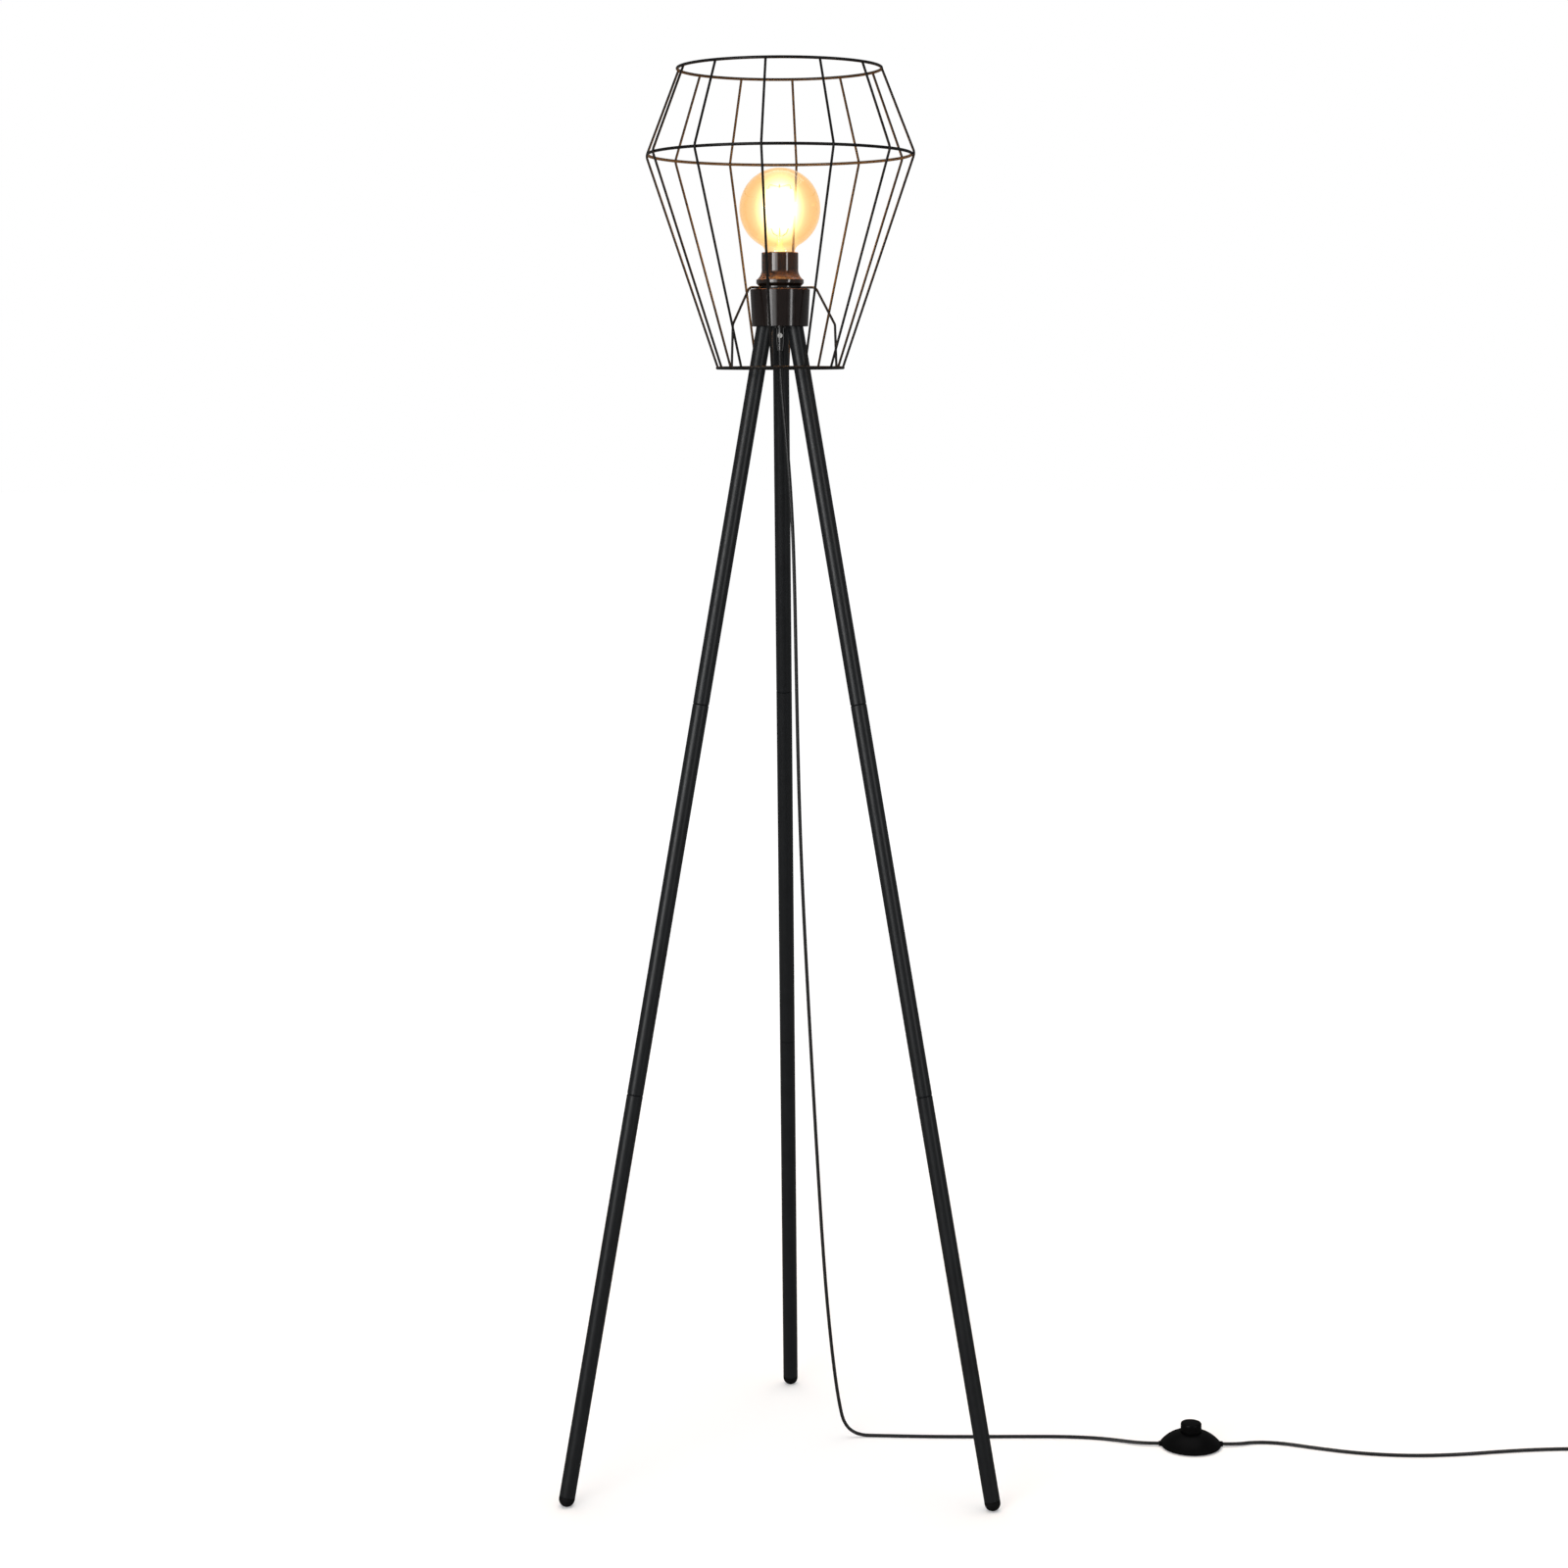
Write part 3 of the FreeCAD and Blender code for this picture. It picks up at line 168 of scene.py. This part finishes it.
# Cord routes from the lamp's axis, as the photographed cord lies
FALL_ROUTE = [
    (0.0, 0.0, 1.141),
    (0.0004, 0.0002, 1.117),
    (0.0039, 0.0019, 1.078),
    (0.0084, 0.0050, 1.024),
    (0.0117, 0.0086, 0.967),
    (0.0133, 0.0124, 0.910),
    (0.0142, 0.0162, 0.853),
    (0.0150, 0.0200, 0.796),
    (0.0160, 0.0238, 0.739),
    (0.0173, 0.0276, 0.682),
    (0.0191, 0.0315, 0.625),
    (0.0214, 0.0354, 0.568),
    (0.0241, 0.0393, 0.511),
    (0.0269, 0.0432, 0.454),
    (0.0298, 0.0471, 0.397),
    (0.0328, 0.0511, 0.340),
    (0.0359, 0.0551, 0.283),
    (0.0392, 0.0591, 0.226),
    (0.0430, 0.0631, 0.169),
    (0.0474, 0.0670, 0.118),
    (0.0520, 0.0706, 0.074),
    (0.0565, 0.0736, 0.041),
    (0.0620, 0.0760, 0.0145),
    (0.0765, 0.0778, 0.0023),
    (0.1010, 0.0782, FLOOR_LINE),
    (0.1460, 0.0766, FLOOR_LINE),
    (0.2000, 0.0774, FLOOR_LINE),
    (0.2540, 0.0796, FLOOR_LINE),
    (0.2990, 0.0804, FLOOR_LINE),
    (0.3330, 0.0766, FLOOR_LINE),
    (0.3580, 0.0675, 0.0024),
    (0.3760, SWITCH_CORD_Y, SWITCH_CORD_HEIGHT),
    (SWITCH.x - SWITCH_COLLAR, SWITCH_CORD_Y, SWITCH_CORD_HEIGHT),
]
PLUG_ROUTE = [
    (SWITCH.x + SWITCH_COLLAR, SWITCH_CORD_Y, SWITCH_CORD_HEIGHT),
    (0.4760, SWITCH_CORD_Y, 0.0028),
    (0.4940, 0.0686, 0.0021),
    (0.5220, 0.0674, FLOOR_LINE),
    (0.5560, 0.0534, FLOOR_LINE),
    (0.6010, 0.0386, FLOOR_LINE),
    (0.6520, 0.0330, FLOOR_LINE),
    (0.7030, 0.0380, FLOOR_LINE),
    (0.7490, 0.0486, FLOOR_LINE),
    (0.7900, 0.0554, FLOOR_LINE),
    (0.8220, COIL_ENTRY_Y, FLOOR_LINE),
]


# Camera


def make_camera():
    """Camera at the photograph's viewing angle."""
    turn = math.radians(CAMERA_TURN)
    pitch = math.radians(CAMERA_PITCH)
    roll = math.radians(CAMERA_ROLL)
    level = Vector((-math.sin(turn), math.cos(turn), 0))
    ahead = level * math.cos(pitch) - Vector((0, 0, math.sin(pitch)))
    side = ahead.cross(Vector((0, 0, 1))).normalized()
    upright = side.cross(ahead)
    right = side * math.cos(roll) + upright * math.sin(roll)
    up = upright * math.cos(roll) - side * math.sin(roll)
    data = bpy.data.cameras.new("camera")
    data.lens = CAMERA_LENS
    data.sensor_width = CAMERA_SENSOR
    data.clip_end = 50
    camera = bpy.data.objects.new("camera", data)
    bpy.context.scene.collection.objects.link(camera)
    turned = Matrix((right, up, -ahead)).transposed().to_4x4()
    camera.matrix_world = Matrix.Translation(AXIS + CAMERA_PLACE) @ turned
    bpy.context.scene.camera = camera


make_camera()


# Materials


class Shader:
    """A material or world under construction: adds nodes, fed with values or other nodes' outputs."""

    def __init__(self, name, owner=None):
        self.owner = owner or bpy.data.materials.new(name)
        self.owner.use_nodes = True
        self.tree = self.owner.node_tree
        self.tree.nodes.clear()

    def add(self, kind, inputs=None, **settings):
        """Adds a node and fills its inputs, by name or number."""
        node = self.tree.nodes.new(kind)
        for key, value in settings.items():
            setattr(node, key, value)
        for key, value in (inputs or {}).items():
            if isinstance(value, bpy.types.NodeSocket):
                self.tree.links.new(value, node.inputs[key])
            else:
                node.inputs[key].default_value = value
        return node

    def noise(self, size, detail=3.0, stretch=(1, 1, 1)):
        """Noise whose lumps are about this size, 0 to 1."""
        place = self.add("ShaderNodeTexCoord").outputs["Object"]
        scaled = self.add("ShaderNodeMapping", {"Vector": place, "Scale": stretch}).outputs["Vector"]
        inputs = {"Vector": scaled, "Scale": 1 / size, "Detail": detail, "Roughness": 0.55}
        return self.add("ShaderNodeTexNoise", inputs).outputs["Fac"]

    def between(self, value, low, high, start=0.3, end=0.7):
        """Maps a value from start..end to low..high."""
        inputs = {"Value": value, "From Min": start, "From Max": end, "To Min": low, "To Max": high}
        return self.add("ShaderNodeMapRange", inputs).outputs["Result"]

    def blend(self, share, first, second):
        """Colour between two colours."""
        node = self.add("ShaderNodeMix", data_type="RGBA")
        self.tree.links.new(share, node.inputs[0])
        for socket, colour in zip((node.inputs[6], node.inputs[7]), (first, second)):
            if isinstance(colour, bpy.types.NodeSocket):
                self.tree.links.new(colour, socket)
            else:
                socket.default_value = (*colour, 1)
        return node.outputs[2]

    def bump(self, height, depth):
        """Normal of a surface whose relief has this depth."""
        return self.add("ShaderNodeBump", {"Height": height, "Distance": depth}).outputs["Normal"]

    def calculate(self, operation, first, second):
        """Result of an operation on two values."""
        return self.add("ShaderNodeMath", {0: first, 1: second}, operation=operation).outputs["Value"]

    def emission(self, colour, strength):
        """Light of a colour, seen on a surface or filling a volume."""
        inputs = {"Color": (*colour, 1), "Strength": strength}
        return self.add("ShaderNodeEmission", inputs).outputs["Emission"]

    def seen(self):
        """1 for rays that see the background, as the camera, gloss and glass do, otherwise 0."""
        path = self.add("ShaderNodeLightPath")
        seen = path.outputs["Is Camera Ray"]
        for ray in ("Is Glossy Ray", "Is Transmission Ray"):
            seen = self.calculate("MAXIMUM", seen, path.outputs[ray])
        return seen

    def output(self, surface, volume=None):
        """Finishes a material and returns it."""
        inputs = {"Surface": surface}
        if volume is not None:
            inputs["Volume"] = volume
        self.add("ShaderNodeOutputMaterial", inputs)
        return self.owner


def coated(name, dark, light, rough, grain, depth, gloss=1.0, mottle=0.03):
    """Paint, plastic or rubber: two close tones under a clear coat of uneven gloss and fine grain.

    rough is (low, high) roughness, grain the size of the surface's lumps, depth their height.
    gloss is the share of a full coat, which keeps deep blacks black at a slant too.
    """
    s = Shader(name)
    patches = s.between(s.noise(mottle), 0.0, 1.0)
    roughness = s.between(s.noise(mottle / 4), rough[0], rough[1])
    normal = s.bump(s.noise(grain, detail=4.0), depth)
    inputs = {
        "Base Color": s.blend(patches, dark, light),
        "Roughness": roughness,
        "Normal": normal,
        "Specular IOR Level": 0.0,
        "Coat Weight": gloss,
        "Coat Roughness": roughness,
        "Coat Normal": normal,
    }
    return s.output(s.add("ShaderNodeBsdfPrincipled", inputs).outputs["BSDF"])


def metal(name, dark, light, rough, brushed=(1, 1, 1)):
    """Bare or plated metal with fine brushing along one way."""
    s = Shader(name)
    streaks = s.noise(0.0012, detail=4.0, stretch=brushed)
    inputs = {
        "Base Color": s.blend(s.between(s.noise(0.006), 0.0, 1.0), dark, light),
        "Metallic": 1.0,
        "Roughness": s.between(streaks, rough[0], rough[1]),
        "Normal": s.bump(streaks, 0.00002),
    }
    return s.output(s.add("ShaderNodeBsdfPrincipled", inputs).outputs["BSDF"])


def thin_glass(s, tint, shine, least, most):
    """Thin clear wall: passes tinted light straight on, and mirrors more towards its rim."""
    facing = s.add("ShaderNodeLayerWeight", {"Blend": 0.5}).outputs["Facing"]
    mirror = s.between(s.calculate("POWER", facing, 4.0), least, most, 0.0, 1.0)
    clear = s.add("ShaderNodeBsdfTransparent", {"Color": tint}).outputs["BSDF"]
    inputs = {"Base Color": (*shine, 1), "Metallic": 1.0, "Roughness": 0.03}
    gloss = s.add("ShaderNodeBsdfPrincipled", inputs).outputs["BSDF"]
    return s.add("ShaderNodeMixShader", {0: mirror, 1: clear, 2: gloss}).outputs["Shader"]


def lit_globe():
    """Thin amber glass round a haze of warm light that is brightest between the filaments."""
    s = Shader("amber_glass")
    facing = s.add("ShaderNodeLayerWeight", {"Blend": 0.5}).outputs["Facing"]
    deep = s.between(facing, 0.0, 1.0, 0.0, 0.5)
    mottle = s.between(s.noise(0.02), 0.0, 1.0)
    centre = s.blend(mottle, (0.99, 0.89, 0.65), (0.985, 0.87, 0.61))
    tint = s.blend(deep, centre, (1.0, 0.755, 0.455))
    glass = thin_glass(s, tint, (1.0, 0.93, 0.8), 0.03, 0.6)

    place = s.add("ShaderNodeTexCoord").outputs["Object"]
    shift = {"Vector": place, "Location": tuple(-FILAMENTS)}
    local = s.add("ShaderNodeMapping", shift).outputs["Vector"]
    squeeze = {"Vector": local, "Scale": (1 / HAZE_RADIUS, 1 / HAZE_RADIUS, 1 / HAZE_HEIGHT)}
    shaped = s.add("ShaderNodeMapping", squeeze).outputs["Vector"]
    far = s.add("ShaderNodeVectorMath", {0: shaped}, operation="LENGTH").outputs["Value"]
    fade = {"Value": far, "From Min": 0.0, "From Max": 1.0, "To Min": 1.0, "To Max": 0.0}
    near = s.add("ShaderNodeMapRange", fade, interpolation_type="SMOOTHERSTEP").outputs["Result"]
    strength = s.calculate("MULTIPLY", s.calculate("POWER", near, HAZE_FALL), HAZE_STRENGTH)
    return s.output(glass, s.emission((1.0, 0.80, 0.46), strength))


def clear_glass():
    """Clear stem glass that passes light, with a faint painted glow standing in for the filaments'
    light caught in it.
    """
    s = Shader("stem_glass")
    cloud = s.between(s.noise(0.004), 0.0, 1.0)
    tint = s.blend(cloud, (1.0, 0.93, 0.78), (1.0, 0.88, 0.66))
    glass = thin_glass(s, tint, (1.0, 0.95, 0.85), 0.04, 0.6)
    # Painted glow: the stem glass is no lamp; this faint emission stands in for filament light that it
    # scatters.
    glow = s.emission((1.0, 0.85, 0.6), 0.2)
    return s.output(s.add("ShaderNodeAddShader", {0: glass, 1: glow}).outputs["Shader"])


def glowing(name, colour, strength):
    """Lit phosphor coating, a little uneven along its length."""
    s = Shader(name)
    uneven = s.between(s.noise(0.002), 0.85, 1.15)
    return s.output(s.emission(colour, s.calculate("MULTIPLY", uneven, strength)))


MATERIALS = {
    "leg_lacquer": coated("leg_lacquer", (0.0052, 0.0058, 0.0066), (0.0074, 0.0084, 0.0094),
                          (0.34, 0.42), 0.0009, 0.00001, gloss=0.14),
    "foot_rubber": coated("foot_rubber", (0.0028, 0.0028, 0.0030), (0.0048, 0.0048, 0.0050),
                          (0.5, 0.65), 0.0006, 0.00004, gloss=0.07, mottle=0.008),
    "cup_enamel": coated("cup_enamel", (0.0076, 0.0045, 0.0038), (0.0102, 0.0062, 0.0052),
                         (0.12, 0.18), 0.0016, 0.000003, gloss=0.2),
    "hub_casting": coated("hub_casting", (0.010, 0.010, 0.010), (0.022, 0.021, 0.020),
                          (0.5, 0.7), 0.0012, 0.0001, gloss=0.3, mottle=0.01),
    "grip_plastic": coated("grip_plastic", (0.0090, 0.0090, 0.0090), (0.014, 0.0136, 0.0136),
                           (0.25, 0.35), 0.0006, 0.00001, gloss=0.5, mottle=0.006),
    "cage_lacquer": coated("cage_lacquer", (0.0042, 0.0038, 0.0035), (0.0062, 0.0055, 0.0050),
                           (0.34, 0.45), 0.0007, 0.00002, gloss=0.1),
    "holder_plastic": coated("holder_plastic", (0.0088, 0.0054, 0.0038), (0.0112, 0.0069, 0.0049),
                             (0.10, 0.13), 0.0016, 0.000001, gloss=0.30, mottle=0.012),
    "porcelain": coated("porcelain", (0.80, 0.78, 0.73), (0.88, 0.87, 0.83),
                        (0.15, 0.25), 0.002, 0.00002, mottle=0.01),
    "switch_plastic": coated("switch_plastic", (0.0008, 0.0008, 0.0009), (0.0015, 0.0015, 0.0016),
                             (0.3, 0.4), 0.0005, 0.00001, gloss=0.05, mottle=0.015),
    "cord_sheath": coated("cord_sheath", (0.0050, 0.0050, 0.0051), (0.0078, 0.0078, 0.0080),
                          (0.36, 0.46), 0.0008, 0.00002, gloss=0.25, mottle=0.02),
    "plug_plastic": coated("plug_plastic", (0.0045, 0.0045, 0.0047), (0.0072, 0.0072, 0.0075),
                           (0.35, 0.5), 0.0005, 0.00002, gloss=0.2, mottle=0.012),
    "black_glass": coated("black_glass", (0.008, 0.008, 0.012), (0.014, 0.014, 0.020),
                          (0.05, 0.1), 0.002, 0.00001, mottle=0.005),
    "plated_steel": metal("plated_steel", (0.13, 0.13, 0.127), (0.20, 0.197, 0.19), (0.3, 0.4),
                          brushed=(1, 1, 0.1)),
    "brass": metal("brass", (0.68, 0.48, 0.19), (0.80, 0.60, 0.28), (0.2, 0.35)),
    "copper": metal("copper", (0.70, 0.33, 0.18), (0.80, 0.43, 0.26), (0.25, 0.4)),
    "cap_nickel": metal("cap_nickel", (0.48, 0.455, 0.40), (0.60, 0.57, 0.51), (0.18, 0.32)),
    "pin_nickel": metal("pin_nickel", (0.44, 0.41, 0.34), (0.56, 0.525, 0.44), (0.15, 0.28)),
    "bulb_glass": lit_globe(),
    "clear_glass": clear_glass(),
    "filament": glowing("filament", (1.0, 0.86, 0.6), 14.0),
}


def dress(piece, slot):
    """Gives a piece the one material of a slot."""
    piece.data.materials.clear()
    piece.data.materials.append(MATERIALS[slot])


def smooth(piece, angle=35.0):
    """Smooth shading that keeps edges sharper than this angle."""
    for face in piece.data.polygons:
        face.use_smooth = True
    piece.data.set_sharp_from_angle(angle=math.radians(angle))


for entry in frame["record"]["subparts"]:
    dress(frame["nodes"][entry["node"]], entry["material_slot"])


# Cords


def cord_curve(name, points):
    """Round cord on one smooth open spline."""
    data = bpy.data.curves.new(name, "CURVE")
    data.dimensions = "3D"
    data.bevel_depth = CORD_RADIUS
    data.bevel_resolution = 6
    data.use_fill_caps = True
    spline = data.splines.new("NURBS")
    spline.points.add(len(points) - 1)
    for control, point in zip(spline.points, points):
        control.co = (*(AXIS + Vector(point)), 1)
    spline.order_u = 3
    spline.use_endpoint_u = True
    spline.resolution_u = 8
    piece = bpy.data.objects.new(name, data)
    bpy.context.scene.collection.objects.link(piece)
    dress(piece, "cord_sheath")
    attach(piece, "root")
    return piece


def coil_line(turn):
    """Centre line of the spare cord: in on the floor, up over half a turn, out on top."""
    climb_end = COIL_TURNS_IN + CLIMB_TURNS
    if turn < COIL_TURNS_IN:
        radius = COIL_INNER + COIL_PITCH * (COIL_TURNS_IN - turn)
    else:
        radius = COIL_INNER + COIL_PITCH * max(0.0, turn - climb_end)
    share = min(max((turn - COIL_TURNS_IN) / CLIMB_TURNS, 0.0), 1.0)
    height = FLOOR_LINE + (COIL_UPPER - FLOOR_LINE) * (1 - math.cos(math.pi * share)) / 2
    angle = 2 * math.pi * (turn - 0.25)
    centre_y = COIL_ENTRY_Y + COIL_INNER + COIL_PITCH * COIL_TURNS_IN
    return (COIL_X + radius * math.cos(angle), centre_y + radius * math.sin(angle), height)


def make_cords(spring):
    """The cord from the grip to the switch, and the one from the switch to the plug with its coil."""
    fall = cord_curve("cord_fall", FALL_ROUTE)
    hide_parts("cord_to_switch")

    turns = COIL_TURNS_IN + CLIMB_TURNS + COIL_TURNS_OUT
    count = round(turns * COIL_POINTS)
    coil = [coil_line(turns * i / count) for i in range(count + 1)]
    exit_x = coil[-1][0]
    tail = [(exit_x, PLUG_LOW.y - AXIS.y, COIL_UPPER)]
    lead = cord_curve("cord_lead", PLUG_ROUTE + coil + tail)
    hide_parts("cord_to_plug", "cord_coil")


# Meshes


def new_piece(name, vertices, faces, slot, body):
    """A smooth mesh piece that rides on a body."""
    mesh = bpy.data.meshes.new(name)
    mesh.from_pydata(vertices, [], faces)
    mesh.update()
    piece = bpy.data.objects.new(name, mesh)
    bpy.context.scene.collection.objects.link(piece)
    smooth(piece)
    dress(piece, slot)
    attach(piece, body)
    return piece


def lathe(name, outline, slot, body, sides):
    """Closed surface turned about the lamp's axis from (radius, height) corners, ends on the axis."""
    rings = outline[1:-1]
    vertices = [AXIS + Vector((0, 0, outline[0][1]))]
    for radius, height in rings:
        for i in range(sides):
            angle = 2 * math.pi * i / sides
            vertices.append(AXIS + Vector((radius * math.cos(angle), radius * math.sin(angle), height)))
    vertices.append(AXIS + Vector((0, 0, outline[-1][1])))
    faces = []
    last = len(vertices) - 1
    for i in range(sides):
        j = (i + 1) % sides
        faces.append((0, 1 + j, 1 + i))
        for k in range(len(rings) - 1):
            a = 1 + k * sides
            faces.append((a + i, a + j, a + sides + j, a + sides + i))
        top = 1 + (len(rings) - 1) * sides
        faces.append((top + i, top + j, last))
    return new_piece(name, vertices, faces, slot, body)


def arc(centre, radius, start, end, steps):
    """Points of an arc in the (radius, height) plane, bearings in degrees."""
    points = []
    for i in range(steps + 1):
        bearing = math.radians(start + (end - start) * i / steps)
        points.append((centre[0] + radius * math.cos(bearing), centre[1] + radius * math.sin(bearing)))
    return points


def spring_point(turn):
    """Centre line of the spring, level at both ends with a steady climb between."""
    share = min(max((turn - SPRING_LEVEL) / (SPRING_TURNS - 2 * SPRING_LEVEL), 0.0), 1.0)
    bottom, top = SPRING_LOW.z + SPRING_WIRE, SPRING_HIGH.z - SPRING_WIRE
    angle = 2 * math.pi * turn
    x = SWITCH.x + SPRING_RADIUS * math.cos(angle)
    y = SWITCH.y + SPRING_RADIUS * math.sin(angle)
    return Vector((x, y, bottom + (top - bottom) * share))


def make_spring():
    """Wound spring under the push button."""
    count = round(SPRING_TURNS * SPRING_POINTS)
    line = [spring_point(SPRING_TURNS * i / count) for i in range(count + 1)]
    vertices, faces = [], []
    for i, point in enumerate(line):
        along = (line[min(i + 1, count)] - line[max(i - 1, 0)]).normalized()
        out = Vector((point.x - SWITCH.x, point.y - SWITCH.y, 0)).normalized()
        across = along.cross(out).normalized()
        out = across.cross(along)
        for k in range(SPRING_SIDES):
            turn = 2 * math.pi * k / SPRING_SIDES
            vertices.append(point + SPRING_WIRE * (math.cos(turn) * out + math.sin(turn) * across))
    for a in range(0, count * SPRING_SIDES, SPRING_SIDES):
        b = a + SPRING_SIDES
        for k in range(SPRING_SIDES):
            j = (k + 1) % SPRING_SIDES
            faces.append((a + k, a + j, b + j, b + k))
    faces.append(tuple(reversed(range(SPRING_SIDES))))
    faces.append(tuple(range(count * SPRING_SIDES, (count + 1) * SPRING_SIDES)))
    spring = new_piece("press_spring", vertices, faces, "plated_steel", "root")
    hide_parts("switch_spring")
    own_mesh(spring)
    return spring


def make_globe():
    """Outer skin of the glass: neck, fillet and globe."""
    gap = NECK_RADIUS + NECK_FILLET
    drop = math.sqrt((GLOBE_RADIUS + NECK_FILLET) ** 2 - gap ** 2)
    bearing = math.degrees(math.atan2(drop, -gap))
    outline = [(0, GLOBE_LOW.z), (NECK_RADIUS, GLOBE_LOW.z)]
    outline += arc((gap, GLOBE_CENTRE - drop), NECK_FILLET, 180, bearing, NECK_STEPS)
    outline += arc((0, GLOBE_CENTRE), GLOBE_RADIUS, bearing - 180, 90, GLOBE_STEPS)[1:-1]
    outline += [(0, GLOBE_HIGH.z)]
    globe = lathe("bulb_glass", outline, "bulb_glass", "bulb", GLOBE_SIDES)
    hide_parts("bulb_globe")


make_cords(make_spring())
make_globe()


# Stage


def make_floor():
    """Pale floor that shows white to the horizon and keeps a soft shadow under the lamp."""
    far = FLOOR_HALF_WIDTH
    corners = [(x, y, 0) for x, y in ((-far, -far), (far, -far), (far, far), (-far, far))]
    mesh = bpy.data.meshes.new("floor")
    mesh.from_pydata(corners, [], [(0, 1, 2, 3)])
    floor = bpy.data.objects.new("floor", mesh)
    bpy.context.scene.collection.objects.link(floor)
    s = Shader("floor")
    shade = s.blend(s.between(s.noise(0.4), 0.0, 1.0), (0.80, 0.80, 0.80), (0.82, 0.82, 0.82))
    matt = s.add("ShaderNodeBsdfDiffuse", {"Color": shade}).outputs["BSDF"]
    place = s.add("ShaderNodeTexCoord").outputs["Object"]
    away = s.add("ShaderNodeVectorMath", {0: place}, operation="LENGTH").outputs["Value"]
    level = s.between(away, FLOOR_GLOW_NEAR, FLOOR_GLOW_FAR, *FLOOR_GLOW_REACH)
    white = s.emission((1, 1, 1), s.calculate("MULTIPLY", s.seen(), level))
    mesh.materials.append(s.output(s.add("ShaderNodeAddShader", {0: matt, 1: white}).outputs["Shader"]))


def make_world():
    """White to the eye, gloss and glass; a soft even fill for everything else."""
    world = bpy.data.worlds.new("studio")
    bpy.context.scene.world = world
    s = Shader("studio", world)
    level = s.between(s.seen(), FILL, 1.0, 0.0, 1.0)
    sky = s.add("ShaderNodeBackground", {"Color": (1, 1, 1, 1), "Strength": level})
    s.add("ShaderNodeOutputWorld", {"Surface": sky.outputs["Background"]})


def panel(name, bearing, width, height, radiance, only_gloss=False):
    """Upright soft lamp round the object, at a bearing from the camera's side, negative to its left."""
    turn = math.radians(bearing)
    out = Vector((math.sin(turn), -math.cos(turn), 0))
    place = AXIS + out * PANEL_DISTANCE + Vector((0, 0, PANEL_HEIGHT))
    lamp = area_lamp(name, place, AXIS + Vector((0, 0, PANEL_AIM)), width, height, radiance)
    lamp.visible_diffuse = not only_gloss


def area_lamp(name, place, target, width, height, radiance):
    """Rectangular lamp that faces a target, with a given brightness of its surface."""
    data = bpy.data.lights.new(name, "AREA")
    data.shape = "RECTANGLE"
    data.size = width
    data.size_y = height
    data.energy = radiance * math.pi * width * height
    lamp = bpy.data.objects.new(name, data)
    bpy.context.scene.collection.objects.link(lamp)
    lamp.location = place
    lamp.rotation_euler = (target - place).to_track_quat("-Z", "Y").to_euler()
    lamp.visible_camera = False
    return lamp


def make_lights():
    """A broad key and an overhead lamp, a gradient and a strip for gloss alone, and the bulb."""
    panel("key", *KEY_PANEL)
    for number, (bearing, width, radiance) in enumerate(GLOSS_PANELS):
        panel("gloss_%d" % number, bearing, width, GLOSS_HEIGHT, radiance, only_gloss=True)
    below = Vector((OVERHEAD_PLACE.x, OVERHEAD_PLACE.y, 0))
    area_lamp("overhead", OVERHEAD_PLACE, below, OVERHEAD_WIDTH, OVERHEAD_WIDTH, OVERHEAD_BRIGHTNESS)

    for name, (power, radius, only_gloss) in BULB_LAMPS.items():
        data = bpy.data.lights.new(name, "POINT")
        data.energy = power
        data.color = BULB_COLOUR
        data.shadow_soft_size = radius
        lamp = bpy.data.objects.new(name, data)
        bpy.context.scene.collection.objects.link(lamp)
        lamp.location = FILAMENTS
        lamp.visible_camera = False
        lamp.visible_transmission = False
        lamp.visible_diffuse = not only_gloss
        lamp.visible_glossy = only_gloss
        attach(lamp, "bulb")


make_floor()
make_world()
make_lights()
bpy.context.scene.view_settings.view_transform = "Standard"
